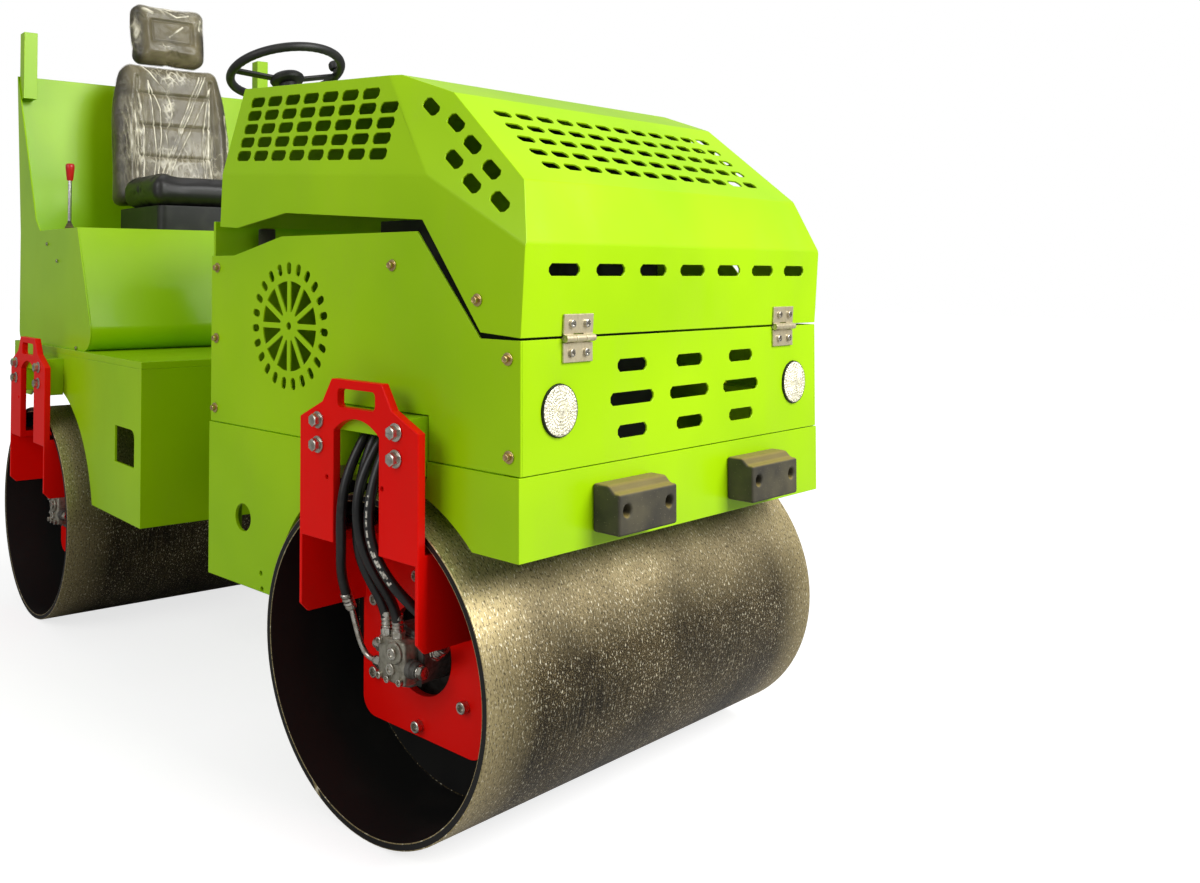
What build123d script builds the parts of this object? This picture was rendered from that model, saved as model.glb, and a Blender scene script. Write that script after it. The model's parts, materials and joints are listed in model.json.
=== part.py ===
"""Ride-on articulated tandem road roller, as a set of separate pieces.

Millimetres. The front half stands along +X, +Y is the machine's left and +Z is up. Every piece is drawn
with the machine straight, the front drum's axle over X = 0 and the ground at Z = 0. The rear half is then
swung about the centre pivot, the hood is set ajar on its buffers, and the whole is moved so that the
origin is on the ground under the middle of the machine.
"""

import os
from math import atan2, cos, degrees, hypot, radians, sin

from build123d import *

os.makedirs("parts", exist_ok=True)

# Running gear
DRUM_DIA = 700
DRUM_LENGTH = 1170
DRUM_SHELL = 16
DRUM_WEB = 20
WHEELBASE = 1815
AXLE_Z = DRUM_DIA / 2
AXLE_GAP = 0.05
STEER_AT_REST = -6.8
HOOD_AJAR = 3.8

# Front body: outside sizes and sheet
BODY_INSET = 40
SKIRT_SHEET = 9
PANEL_SHEET = 5
SKIRT_STEP = 4
SEAM_GAP = 2
FRONT_FACE = 390
FRONT_REAR = 665
SKIRT_BOTTOM = 627
LEG_BOTTOM = 403
SEAM_Z = 783
HINGE_Z = 1035
PANEL_REAR_TOP = 1201
PANEL_MID_TOP = 1244
ARCH_GAP = 36
BODY_HALF = DRUM_LENGTH / 2 - BODY_INSET
INNER_HALF = BODY_HALF - SKIRT_SHEET
PANEL_HALF = BODY_HALF - SKIRT_STEP

# Hood: shut outline, its folds and its sheet
HOOD_SHEET = 5
HOOD_SEAM = 4
HOOD_REAR = 641
HOOD_TOP = 1558
HOOD_LEAN = 56
HOOD_TOP_HALF = PANEL_HALF - HOOD_LEAN
SIDE_FOLD_Z = 1338
NOSE_FOLD_Z = 1217
GRILLE_LOW = (340, 1334)
GRILLE_HIGH = (105, 1514)
TOP_FOLD_X = -46
CORNER_INSET = 36
CORNER_POINT = (178, CORNER_INSET - PANEL_HALF, 1392)
CORNER_NORMAL = (0.182, -0.902, 0.391)
PANEL_KNEE = (286, 108, -363, -563)

# Drum forks and what hangs on them
FORK_GAP = 7
FORK_PLATE = 20
FORK_HALF = 190
FORK_TOP = 937
FORK_SHOULDER = 849
FORK_LEDGE = 614
FORK_WINDOW_HALF = 73
FORK_FOOT = 165
HUB_PLATE_Y = 410
MOTOR_PLATE_Y = 345
MOTOR_PLATE = 15
STUB_DIA = 120
BRACKET_HALF = 140
BRACKET_LOW = 753
BRACKET_HIGH = 872
FORK_Y = DRUM_LENGTH / 2 + FORK_GAP

# Centre pivot and steering cylinder
PIVOT_X = -WHEELBASE / 2
PIVOT_Z = 582
PIVOT_PIN = 50
LUG = 25
LUG_SPACE = 116
TRUNNION = 90
ARM_REACH = 190
CYLINDER_Z = 600
CYLINDER_FOOT = (-540, 330)
ROD_DIA = 30
BARREL_LENGTH = 270

# Rear body
REAR_FRONT = -1000
REAR_OVERHANG = 420
REAR_BACK = -WHEELBASE - REAR_OVERHANG
REAR_INSET = 50
REAR_SHEET = 8
REAR_BOTTOM = 439
DECK_TOP = 905
DECK = 20
REAR_ARCH_GAP = 82
REAR_HALF = DRUM_LENGTH / 2 - REAR_INSET
REAR_WIDTH = 2 * REAR_HALF
WING_SHEET = 5
WING_INSET = 16
WING_HALF = REAR_HALF - WING_INSET
BOX_TOP = 1305
BOX_FOOT = -1436
BOX_NOSE = -1602
WALL_TOP = 1900
WALL_LEAN = 65
WALL_TOP_X = REAR_BACK - WALL_LEAN
POST = 50
POST_TOP = 2060

# Operator's place
SEAT_Y = 5
SEAT_WIDTH = 480
WHEEL_DIA = 376
WHEEL_X = -1070
WHEEL_Y = -40
WHEEL_Z = 1787
WHEEL_TILT = 17.5
WHEEL_GRIP = 28


def turn(point, about, angle):
    """Turn an (x, y) point about another by an angle in degrees."""
    dx, dy = point[0] - about[0], point[1] - about[1]
    c, s = cos(radians(angle)), sin(radians(angle))
    return (about[0] + dx * c - dy * s, about[1] + dx * s + dy * c)


def left_of(part):
    """The left-hand twin of a piece drawn for the machine's right side."""
    return mirror(part, about=Plane.XZ)


def oblong(length, width, corner):
    """An oblong hole's outline with its corners cut off, in the current sketch."""
    with BuildSketch(mode=Mode.PRIVATE) as hole:
        Rectangle(length, width)
        chamfer(hole.vertices(), corner)
    add(hole.sketch, mode=Mode.ADD)


# Front frame: skirts, front apron, side beams and the engine's rails in one weldment
ARCH_R = AXLE_Z + ARCH_GAP
BEAM_DEPTH = 66
BEAM_LOW = DRUM_DIA + 12
BEAM_FRONT = FRONT_FACE - 40
BEAM_IN = INNER_HALF - BEAM_DEPTH
LASHING_R = 33
LASHING_AT = (-510, 566)
DRAIN_R = 6
DRAINS = ((-433, 447), (-428, 411))
ENGINE_RAILS = (-395, 155)
ENGINE_RAIL = 50
ENGINE_FLOOR = 760
NOTCH_GAP = 3

with BuildPart() as front_frame:
    for side in (1, -1):
        skirt_plane = Plane.XZ.offset(side * INNER_HALF)
        with BuildSketch(skirt_plane):
            Polygon(
                (-FRONT_REAR, LEG_BOTTOM), (0, LEG_BOTTOM), (0, SKIRT_BOTTOM), (FRONT_FACE, SKIRT_BOTTOM),
                (FRONT_FACE, SEAM_Z), (-FRONT_REAR, SEAM_Z), align=None,
            )
            with Locations((0, AXLE_Z)):
                Circle(ARCH_R, mode=Mode.SUBTRACT)
            with Locations(LASHING_AT):
                Circle(LASHING_R, mode=Mode.SUBTRACT)
            with Locations(*DRAINS):
                Circle(DRAIN_R, mode=Mode.SUBTRACT)
            with Locations((0, BRACKET_HIGH)):
                Rectangle(
                    2 * (BRACKET_HALF + NOTCH_GAP), 2 * (BRACKET_HIGH - BRACKET_LOW + NOTCH_GAP),
                    mode=Mode.SUBTRACT,
                )
        extrude(amount=side * SKIRT_SHEET)
        with BuildSketch(Plane.XY.offset(BEAM_LOW)):
            with Locations(((BEAM_FRONT - FRONT_REAR) / 2, -side * (INNER_HALF - BEAM_DEPTH / 2))):
                Rectangle(BEAM_FRONT + FRONT_REAR - 2 * SKIRT_SHEET, BEAM_DEPTH)
        extrude(amount=BRACKET_HIGH - BEAM_LOW)
    with BuildSketch(Plane.YZ.offset(FRONT_FACE - SKIRT_SHEET)):
        with Locations((0, (SKIRT_BOTTOM + SEAM_Z) / 2)):
            Rectangle(2 * INNER_HALF, SEAM_Z - SKIRT_BOTTOM)
    extrude(amount=SKIRT_SHEET)
    for rail in ENGINE_RAILS:
        with BuildSketch(Plane.XY.offset(BEAM_LOW)):
            with Locations((rail, 0)):
                Rectangle(ENGINE_RAIL, 2 * BEAM_IN)
        extrude(amount=ENGINE_FLOOR - BEAM_LOW)
front_frame.part.label = "front_frame"

# Bulkhead: the front half's rear wall, open for the pivot and the cylinder, with a top rail for the hood's buffers
BULKHEAD_TOP = 1288
RAIL_TOP = 1190
PORTAL_LOW = 440
PORTAL_HIGH = 700
PORTAL_HALF = BEAM_IN - 20
RAIL_DEPTH = 60
RAIL_HEIGHT = 30
RAIL_INSET = 6
with BuildPart() as bulkhead:
    with BuildSketch(Plane.YZ.offset(-FRONT_REAR)):
        with Locations((0, (LEG_BOTTOM + BULKHEAD_TOP) / 2)):
            Rectangle(2 * INNER_HALF, BULKHEAD_TOP - LEG_BOTTOM)
        with Locations((0, (PORTAL_LOW + PORTAL_HIGH) / 2)):
            Rectangle(2 * PORTAL_HALF, PORTAL_HIGH - PORTAL_LOW, mode=Mode.SUBTRACT)
    extrude(amount=SKIRT_SHEET)
    with BuildSketch(Plane.XY.offset(RAIL_TOP - RAIL_HEIGHT)):
        with Locations((-FRONT_REAR + SKIRT_SHEET + RAIL_DEPTH / 2, 0)):
            Rectangle(RAIL_DEPTH, 2 * (INNER_HALF - RAIL_INSET))
    extrude(amount=RAIL_HEIGHT)
bulkhead.part.label = "bulkhead"

# Pivot frame: a box beam across the skirts, with the centre pivot's two lugs and the steering cylinder's ears
CROSS_BACK = -470
CROSS_FRONT = -400
CROSS_LOW = 440
CROSS_HIGH = 700
CROSS_WALL = 10
LUG_HALF = 100
LUG_END = 68
EAR = 15
EAR_SPACE = 30
EAR_R = 30
FOOT_PIN = 25
with BuildPart() as pivot_frame:
    with BuildSketch(Plane.XZ.offset(-INNER_HALF)):
        with Locations(((CROSS_BACK + CROSS_FRONT) / 2, (CROSS_LOW + CROSS_HIGH) / 2)):
            Rectangle(CROSS_FRONT - CROSS_BACK, CROSS_HIGH - CROSS_LOW)
            Rectangle(
                CROSS_FRONT - CROSS_BACK - 2 * CROSS_WALL, CROSS_HIGH - CROSS_LOW - 2 * CROSS_WALL,
                mode=Mode.SUBTRACT,
            )
    extrude(amount=2 * INNER_HALF)
    for lug_floor in (PIVOT_Z - LUG_SPACE / 2 - LUG, PIVOT_Z + LUG_SPACE / 2):
        with BuildSketch(Plane.XY.offset(lug_floor)):
            with BuildLine():
                Polyline((CROSS_BACK, LUG_HALF), (PIVOT_X, LUG_END))
                ThreePointArc((PIVOT_X, LUG_END), (PIVOT_X - LUG_END, 0), (PIVOT_X, -LUG_END))
                Polyline((PIVOT_X, -LUG_END), (CROSS_BACK, -LUG_HALF), (CROSS_BACK, LUG_HALF))
            make_face()
            with Locations((PIVOT_X, 0)):
                Circle(PIVOT_PIN / 2, mode=Mode.SUBTRACT)
        extrude(amount=LUG)
    for ear_floor in (CYLINDER_Z - EAR_SPACE / 2 - EAR, CYLINDER_Z + EAR_SPACE / 2):
        with BuildSketch(Plane.XY.offset(ear_floor)):
            with Locations(CYLINDER_FOOT):
                Circle(EAR_R)
            with Locations(((CYLINDER_FOOT[0] + CROSS_BACK) / 2, CYLINDER_FOOT[1])):
                Rectangle(CROSS_BACK - CYLINDER_FOOT[0], 2 * EAR_R)
            with Locations(CYLINDER_FOOT):
                Circle(FOOT_PIN / 2, mode=Mode.SUBTRACT)
        extrude(amount=EAR)
pivot_frame.part.label = "pivot_frame"

# Side panels: flat sheet with a stepped top edge and a round fan vent
VENT_AT = (-333, 1035)
VENT_R = 148
VENT_RING = 28
VENT_INNER_R = 104
VENT_HUB_R = 34
VENT_CENTRE_R = 9
VENT_RIB = 13
VENT_RIBS = 12
VENT_TEETH = 23
VENT_TOOTH = 17

with BuildSketch() as vent_blades:
    Circle(VENT_INNER_R)
    Circle(VENT_HUB_R, mode=Mode.SUBTRACT)
    with PolarLocations(VENT_INNER_R / 2, VENT_RIBS):
        Rectangle(VENT_INNER_R, VENT_RIB, mode=Mode.SUBTRACT)

with BuildPart() as side_panel_right:
    with BuildSketch(Plane.XZ.offset(INNER_HALF)):
        Polygon(
            (-FRONT_REAR, SEAM_Z + SEAM_GAP), (FRONT_FACE, SEAM_Z + SEAM_GAP), (FRONT_FACE, HINGE_Z),
            (PANEL_KNEE[0], HINGE_Z), (PANEL_KNEE[1], PANEL_MID_TOP), (PANEL_KNEE[2], PANEL_MID_TOP),
            (PANEL_KNEE[3], PANEL_REAR_TOP), (-FRONT_REAR, PANEL_REAR_TOP), align=None,
        )
        with Locations((0, SEAM_Z)):
            Rectangle(
                2 * (BRACKET_HALF + NOTCH_GAP), 2 * (BRACKET_HIGH - SEAM_Z + NOTCH_GAP), mode=Mode.SUBTRACT
            )
        with Locations(VENT_AT):
            with PolarLocations(VENT_R - VENT_RING / 2, VENT_TEETH, start_angle=90):
                SlotOverall(VENT_RING, VENT_TOOTH, mode=Mode.SUBTRACT)
            add(vent_blades.sketch, mode=Mode.SUBTRACT)
            Circle(VENT_CENTRE_R, mode=Mode.SUBTRACT)
    extrude(amount=PANEL_HALF - INNER_HALF)
side_panel_right.part.label = "side_panel_right"
side_panel_left_part = left_of(side_panel_right.part)

# Front panel: nine cooling slots and the two lamp holes
LAMP_DIA = 102
LAMP_AT = (433, 899)
LAMP_GAP = 0.2
SLOT_PITCH = 203
SLOT_ROWS = (974, 907, 841)
SLOT_LENGTHS = (97, 144, 97)
SLOT_HEIGHT = 26
SLOT_CORNER = 8

with BuildPart() as front_panel:
    with BuildSketch(Plane.YZ.offset(FRONT_FACE - PANEL_SHEET)):
        with Locations((0, (SEAM_Z + SEAM_GAP + HINGE_Z) / 2)):
            Rectangle(2 * INNER_HALF, HINGE_Z - SEAM_Z - SEAM_GAP)
        with Locations((LAMP_AT[0], LAMP_AT[1]), (-LAMP_AT[0], LAMP_AT[1])):
            Circle(LAMP_DIA / 2, mode=Mode.SUBTRACT)
    extrude(amount=PANEL_SHEET)
    for row_z, slot_length in zip(SLOT_ROWS, SLOT_LENGTHS):
        with BuildSketch(Plane.YZ.offset(FRONT_FACE - PANEL_SHEET)):
            with Locations((-SLOT_PITCH, row_z), (0, row_z), (SLOT_PITCH, row_z)):
                oblong(slot_length, SLOT_HEIGHT, SLOT_CORNER)
        extrude(amount=PANEL_SHEET, mode=Mode.SUBTRACT)
front_panel.part.label = "front_panel"

# Head lamps: a lens drum in each hole, with a flange behind the panel
LAMP_DEPTH = 26
LAMP_PROUD = 4
LAMP_FLANGE = 8
with BuildPart() as head_lamps:
    for side in (1, -1):
        with BuildSketch(Plane.YZ.offset(FRONT_FACE + LAMP_PROUD)):
            with Locations((side * LAMP_AT[0], LAMP_AT[1])):
                Circle(LAMP_DIA / 2 - LAMP_GAP)
        extrude(amount=-LAMP_DEPTH)
        with BuildSketch(Plane.YZ.offset(FRONT_FACE - PANEL_SHEET)):
            with Locations((side * LAMP_AT[0], LAMP_AT[1])):
                Circle(LAMP_DIA / 2 + LAMP_FLANGE)
        extrude(amount=-LAMP_FLANGE)
head_lamps.part.label = "head_lamps"

# Rubber bumper blocks on the apron, with a step along the top and two bolt recesses each
BUMPER_WIDTH = 190
BUMPER_Y = 238
BUMPER_DEPTH = 66
BUMPER_LOW = 655
BUMPER_HIGH = 750
BUMPER_STEP = 14
BUMPER_BOLTS = 138
BUMPER_RECESS = 24
with BuildPart() as bumper_blocks:
    with BuildSketch(Plane.XZ.offset(-BUMPER_Y - BUMPER_WIDTH / 2)):
        Polygon(
            (FRONT_FACE, BUMPER_LOW), (FRONT_FACE + BUMPER_DEPTH, BUMPER_LOW),
            (FRONT_FACE + BUMPER_DEPTH, BUMPER_HIGH - BUMPER_STEP),
            (FRONT_FACE + BUMPER_DEPTH - BUMPER_STEP, BUMPER_HIGH - BUMPER_STEP),
            (FRONT_FACE + BUMPER_DEPTH - 2 * BUMPER_STEP, BUMPER_HIGH), (FRONT_FACE, BUMPER_HIGH), align=None,
        )
    extrude(amount=BUMPER_WIDTH)
    with BuildSketch(Plane.YZ.offset(FRONT_FACE + BUMPER_DEPTH)):
        with Locations((BUMPER_Y, (BUMPER_LOW + BUMPER_HIGH) / 2)):
            with GridLocations(BUMPER_BOLTS, 0, 2, 1):
                Circle(BUMPER_RECESS / 2)
    extrude(amount=-BUMPER_DEPTH / 2, mode=Mode.SUBTRACT)
    mirror(about=Plane.XZ)
bumper_blocks.part.label = "bumper_blocks"

# Hood hinges: two leaves a hinge, knuckled on one pin along the front seam
HINGE_Y = 381
HINGE_WIDTH = 88
HINGE_LEAF = 38
HINGE_LEAF_SHEET = 5
HINGE_BARREL = 7.5
HINGE_PIN = 4
HINGE_GAP = 0.3
HINGE_X = FRONT_FACE + HINGE_BARREL + 0.5
KNUCKLE_SHARE = 3


def hinge_leaf(direction):
    """One hinge leaf, below the seam (-1) or above it (+1), for the hinge on the machine's left."""
    third = HINGE_WIDTH / KNUCKLE_SHARE
    middle = direction < 0
    with BuildPart() as leaf:
        with BuildSketch(Plane.YZ.offset(FRONT_FACE)):
            with Locations((HINGE_Y, HINGE_Z + direction * (HINGE_BARREL + HINGE_LEAF / 2 + 1))):
                Rectangle(HINGE_WIDTH, HINGE_LEAF)
        extrude(amount=HINGE_LEAF_SHEET)
        starts = [HINGE_Y - third / 2] if middle else [HINGE_Y - 1.5 * third, HINGE_Y + third / 2]
        for start in starts:
            with BuildSketch(Plane.XZ.offset(-start - third + HINGE_GAP)):
                with Locations((HINGE_X, HINGE_Z)):
                    Circle(HINGE_BARREL)
                    Circle(HINGE_PIN + (0 if middle else AXLE_GAP), mode=Mode.SUBTRACT)
            extrude(amount=third - 2 * HINGE_GAP)
            with BuildSketch(Plane.XZ.offset(-start - third + HINGE_GAP)):
                with Locations((FRONT_FACE + HINGE_LEAF_SHEET - 1.5, HINGE_Z + direction * (HINGE_BARREL + 0.5))):
                    Rectangle(3, 6)
            extrude(amount=third - 2 * HINGE_GAP)
    return leaf.part


with BuildPart() as hood_hinges_lower:
    add(hinge_leaf(-1))
    with BuildSketch(Plane.XZ.offset(-HINGE_Y - HINGE_WIDTH / 2)):
        with Locations((HINGE_X, HINGE_Z)):
            Circle(HINGE_PIN)
    extrude(amount=HINGE_WIDTH)
    mirror(about=Plane.XZ)
hood_hinges_lower.part.label = "hood_hinges_lower"

with BuildPart() as hood_hinges_upper:
    add(hinge_leaf(1))
    mirror(about=Plane.XZ)
hood_hinges_upper.part.label = "hood_hinges_upper"

# Hood: a folded sheet shell with a grille on its nose, its corners and its sides
HOOD_SLOTS = 7
HOOD_SLOT_PITCH = 142
HOOD_SLOT = (91, 24)
HOOD_SLOT_Z = 1166
GRILLE_HOLE = (50, 22)
GRILLE_PITCH = (67, 44)
GRILLE_COUNT = (12, 5)
GRILLE_FROM_TOP = 149
GRILLE_CORNER = 7
SIDE_HOLE = (58, 26)
SIDE_PITCH = (73, 35)
SIDE_ROWS = (7, 8, 8, 8, 8)
SIDE_GRILLE_X = -566
SIDE_GRILLE_RISE = 4
CORNER_HOLE = (52, 26)
CORNER_HOLES = ((62, 1484), (138, 1448), (196, 1402), (260, 1352), (304, 1290), (166, 1372), (227, 1324))
HOOD_CENTRE = Vector((FRONT_FACE - HOOD_REAR) / 2, 0, HINGE_Z)
HOOD_DEEP = 200


def outward_plane(a, b, c, inset):
    """The plane through three points, facing out of the hood and moved inwards by an inset."""
    a, b, c = Vector(*a), Vector(*b), Vector(*c)
    normal = (b - a).cross(c - a).normalized()
    if (a - HOOD_CENTRE).dot(normal) < 0:
        normal = normal * -1
    return Plane(origin=a - normal * inset, x_dir=(b - a), z_dir=normal)


def hood_planes(inset):
    """The planes of the hood's folded facets, apart from its upright walls and its top."""
    nose = [(FRONT_FACE, y, NOSE_FOLD_Z) for y in (-1, 1)]
    low = [(GRILLE_LOW[0], y, GRILLE_LOW[1]) for y in (-1, 1)]
    high = [(GRILLE_HIGH[0], y, GRILLE_HIGH[1]) for y in (-1, 1)]
    planes = [
        outward_plane(nose[0], nose[1], low[0], inset),
        outward_plane(low[0], low[1], high[0], inset),
        outward_plane(high[0], high[1], (TOP_FOLD_X, 0, HOOD_TOP), inset),
    ]
    for side in (-1, 1):
        fold = (0, side * PANEL_HALF, SIDE_FOLD_Z)
        brow = (0, side * HOOD_TOP_HALF, HOOD_TOP)
        planes.append(outward_plane(fold, (1, fold[1], fold[2]), brow, inset))
        normal = Vector(CORNER_NORMAL[0], -side * CORNER_NORMAL[1], CORNER_NORMAL[2]).normalized()
        point = Vector(CORNER_POINT[0], -side * CORNER_POINT[1], CORNER_POINT[2])
        planes.append(Plane(origin=point - normal * inset, x_dir=(normal.Z, 0, -normal.X), z_dir=normal))
    return planes


def hood_block(inset, floor):
    """The hood's convex block, drawn in by an inset all round, down to a floor height."""
    with BuildPart() as block:
        with BuildSketch(Plane.XY.offset(floor)):
            with Locations(((FRONT_FACE - HOOD_REAR) / 2, 0)):
                Rectangle(FRONT_FACE + HOOD_REAR - 2 * inset, 2 * (PANEL_HALF - inset))
        extrude(amount=HOOD_TOP - inset - floor)
        for plane in hood_planes(inset):
            split(bisect_by=plane, keep=Keep.BOTTOM)
    return block.part


GRILLE_PLANES = hood_planes(0)
NOSE_GRILLE = GRILLE_PLANES[1]
grille_drop = Vector(GRILLE_LOW[0] - GRILLE_HIGH[0], 0, GRILLE_LOW[1] - GRILLE_HIGH[1]).normalized()
grille_middle = Vector(GRILLE_HIGH[0], 0, GRILLE_HIGH[1]) + grille_drop * GRILLE_FROM_TOP
side_grille_z = (SIDE_FOLD_Z + HOOD_TOP) / 2
side_grille_y = (PANEL_HALF + HOOD_TOP_HALF) / 2
side_normal = Vector(0, -(HOOD_TOP - SIDE_FOLD_Z), PANEL_HALF - HOOD_TOP_HALF).normalized()
corner_normal = Vector(*CORNER_NORMAL).normalized()


def corner_y(x, z):
    """The corner facet's Y on the right-hand side at a given X and Z."""
    dx, dz = x - CORNER_POINT[0], z - CORNER_POINT[2]
    return CORNER_POINT[1] - (dx * corner_normal.X + dz * corner_normal.Z) / corner_normal.Y


def side_spots(side):
    """Where the holes of a side grille go on its facet, row by row from the top, from the rear forwards."""
    middle_row = (len(SIDE_ROWS) - 1) / 2
    return [
        (column * SIDE_PITCH[0], side * ((middle_row - row) * SIDE_PITCH[1] + SIDE_GRILLE_RISE))
        for row, count in enumerate(SIDE_ROWS) for column in range(count)
    ]


with BuildPart() as hood:
    add(hood_block(0, HINGE_Z + HOOD_SEAM - 1))
    add(hood_block(HOOD_SHEET, HINGE_Z - HOOD_DEEP), mode=Mode.SUBTRACT)
    with BuildSketch(Plane.XZ.offset(-BODY_HALF)):
        Polygon(
            (FRONT_FACE + HOOD_DEEP, HINGE_Z + HOOD_SEAM), (PANEL_KNEE[0], HINGE_Z + HOOD_SEAM),
            (PANEL_KNEE[1], PANEL_MID_TOP + HOOD_SEAM), (PANEL_KNEE[2], PANEL_MID_TOP + HOOD_SEAM),
            (PANEL_KNEE[3], PANEL_REAR_TOP + HOOD_SEAM), (-FRONT_REAR - HOOD_DEEP, PANEL_REAR_TOP + HOOD_SEAM),
            (-FRONT_REAR - HOOD_DEEP, HINGE_Z - HOOD_DEEP), (FRONT_FACE + HOOD_DEEP, HINGE_Z - HOOD_DEEP),
            align=None,
        )
    extrude(amount=2 * BODY_HALF, mode=Mode.SUBTRACT)
    with BuildSketch(Plane.YZ.offset(FRONT_FACE)):
        with Locations((0, HOOD_SLOT_Z)):
            with GridLocations(HOOD_SLOT_PITCH, 0, HOOD_SLOTS, 1):
                oblong(*HOOD_SLOT, SLOT_CORNER)
    extrude(amount=-2 * HOOD_SHEET, mode=Mode.SUBTRACT)
    with BuildSketch(Plane(origin=grille_middle, x_dir=(0, 1, 0), z_dir=NOSE_GRILLE.z_dir)):
        with GridLocations(*GRILLE_PITCH, *GRILLE_COUNT):
            oblong(*GRILLE_HOLE, GRILLE_CORNER)
    extrude(amount=-2 * HOOD_SHEET, mode=Mode.SUBTRACT)
    for side in (1, -1):
        panel_normal = Vector(0, side * side_normal.Y, side_normal.Z)
        panel_origin = (SIDE_GRILLE_X, -side * side_grille_y, side_grille_z)
        with BuildSketch(Plane(origin=panel_origin, x_dir=(1, 0, 0), z_dir=panel_normal)):
            with Locations(*side_spots(side)):
                oblong(*SIDE_HOLE, GRILLE_CORNER)
        extrude(amount=-2 * HOOD_SHEET, mode=Mode.SUBTRACT)
        facet_normal = Vector(corner_normal.X, side * corner_normal.Y, corner_normal.Z)
        facet_run = Vector(GRILLE_LOW[0] - GRILLE_HIGH[0], 0, GRILLE_LOW[1] - GRILLE_HIGH[1])
        facet_at = (CORNER_POINT[0], side * CORNER_POINT[1], CORNER_POINT[2])
        facet = Plane(origin=facet_at, x_dir=facet_run, z_dir=facet_normal)
        spots = [facet.to_local_coords(Vector(x, side * corner_y(x, z), z)) for x, z in CORNER_HOLES]
        with BuildSketch(facet):
            with Locations(*[(spot.X, spot.Y) for spot in spots]):
                oblong(*CORNER_HOLE, GRILLE_CORNER)
        extrude(amount=-2 * HOOD_SHEET, mode=Mode.SUBTRACT)
hood.part.label = "hood"

# Hood buffers: two rubber stops on the bulkhead rail, which hold the hood's rear edge off the body
BUFFER_R = 22
BUFFER_Y = 400
BUFFER_GAP = 0.7
HOOD_PIVOT = (HINGE_X, HINGE_Z)
rear_edge = turn((-HOOD_REAR + HOOD_SHEET / 2, PANEL_REAR_TOP + HOOD_SEAM), HOOD_PIVOT, -HOOD_AJAR)
with BuildPart() as hood_buffers:
    with BuildSketch(Plane.XY.offset(RAIL_TOP)):
        with Locations((rear_edge[0], BUFFER_Y), (rear_edge[0], -BUFFER_Y)):
            Circle(BUFFER_R)
    extrude(amount=rear_edge[1] - BUFFER_GAP - RAIL_TOP)
hood_buffers.part.label = "hood_buffers"

# Engine: one plain block on its two rails
ENGINE_WIDTH = 440
ENGINE_TOP = 1290
with BuildPart() as engine:
    with BuildSketch(Plane.XY.offset(ENGINE_FLOOR)):
        with Locations(((ENGINE_RAILS[0] + ENGINE_RAILS[1]) / 2, 0)):
            Rectangle(ENGINE_RAILS[1] - ENGINE_RAILS[0] + ENGINE_RAIL, ENGINE_WIDTH)
    extrude(amount=ENGINE_TOP - ENGINE_FLOOR)
    chamfer(engine.edges().filter_by(Axis.Z), 40)
engine.part.label = "engine"


# Drum: a rolled shell with a web near each end and a bearing stub on each web
def drum():
    """A drum about the front axle's place."""
    web_out = MOTOR_PLATE_Y - DRUM_WEB
    with BuildPart() as roller:
        with BuildSketch(Plane.XZ.offset(-DRUM_LENGTH / 2)):
            with Locations((0, AXLE_Z)):
                Circle(DRUM_DIA / 2)
                Circle(DRUM_DIA / 2 - DRUM_SHELL, mode=Mode.SUBTRACT)
        extrude(amount=DRUM_LENGTH)
        for side in (1, -1):
            with BuildSketch(Plane.XZ.offset(side * web_out)):
                with Locations((0, AXLE_Z)):
                    Circle(DRUM_DIA / 2 - DRUM_SHELL)
            extrude(amount=-side * DRUM_WEB)
            with BuildSketch(Plane.XZ.offset(side * web_out)):
                with Locations((0, AXLE_Z)):
                    Circle(STUB_DIA / 2 - AXLE_GAP)
            extrude(amount=side * (DRUM_WEB + MOTOR_PLATE - 1))
    return roller.part


# Fork: a cut plate outside the drum, two ledges and cheeks into the drum's end, and the hub plate there
FORK_HEAD_HALF = 81
FORK_NECK = (112, 887)
HANDLE = (120, 38)
HANDLE_Z = 899
HANDLE_CORNER = 10
CLIP_R = 5
CLIPS = ((-95, 729), (83, 729))
WINDOW_SPRING = 829
WINDOW_TOP = 858
HUB_CORNER = 42
HUB_HOLE_R = 95
CHEEK = 9
CHEEK_FOOT = 425
MOUNT_PCD = 320
MOUNT_R = 26
MOUNTS = 6


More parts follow.
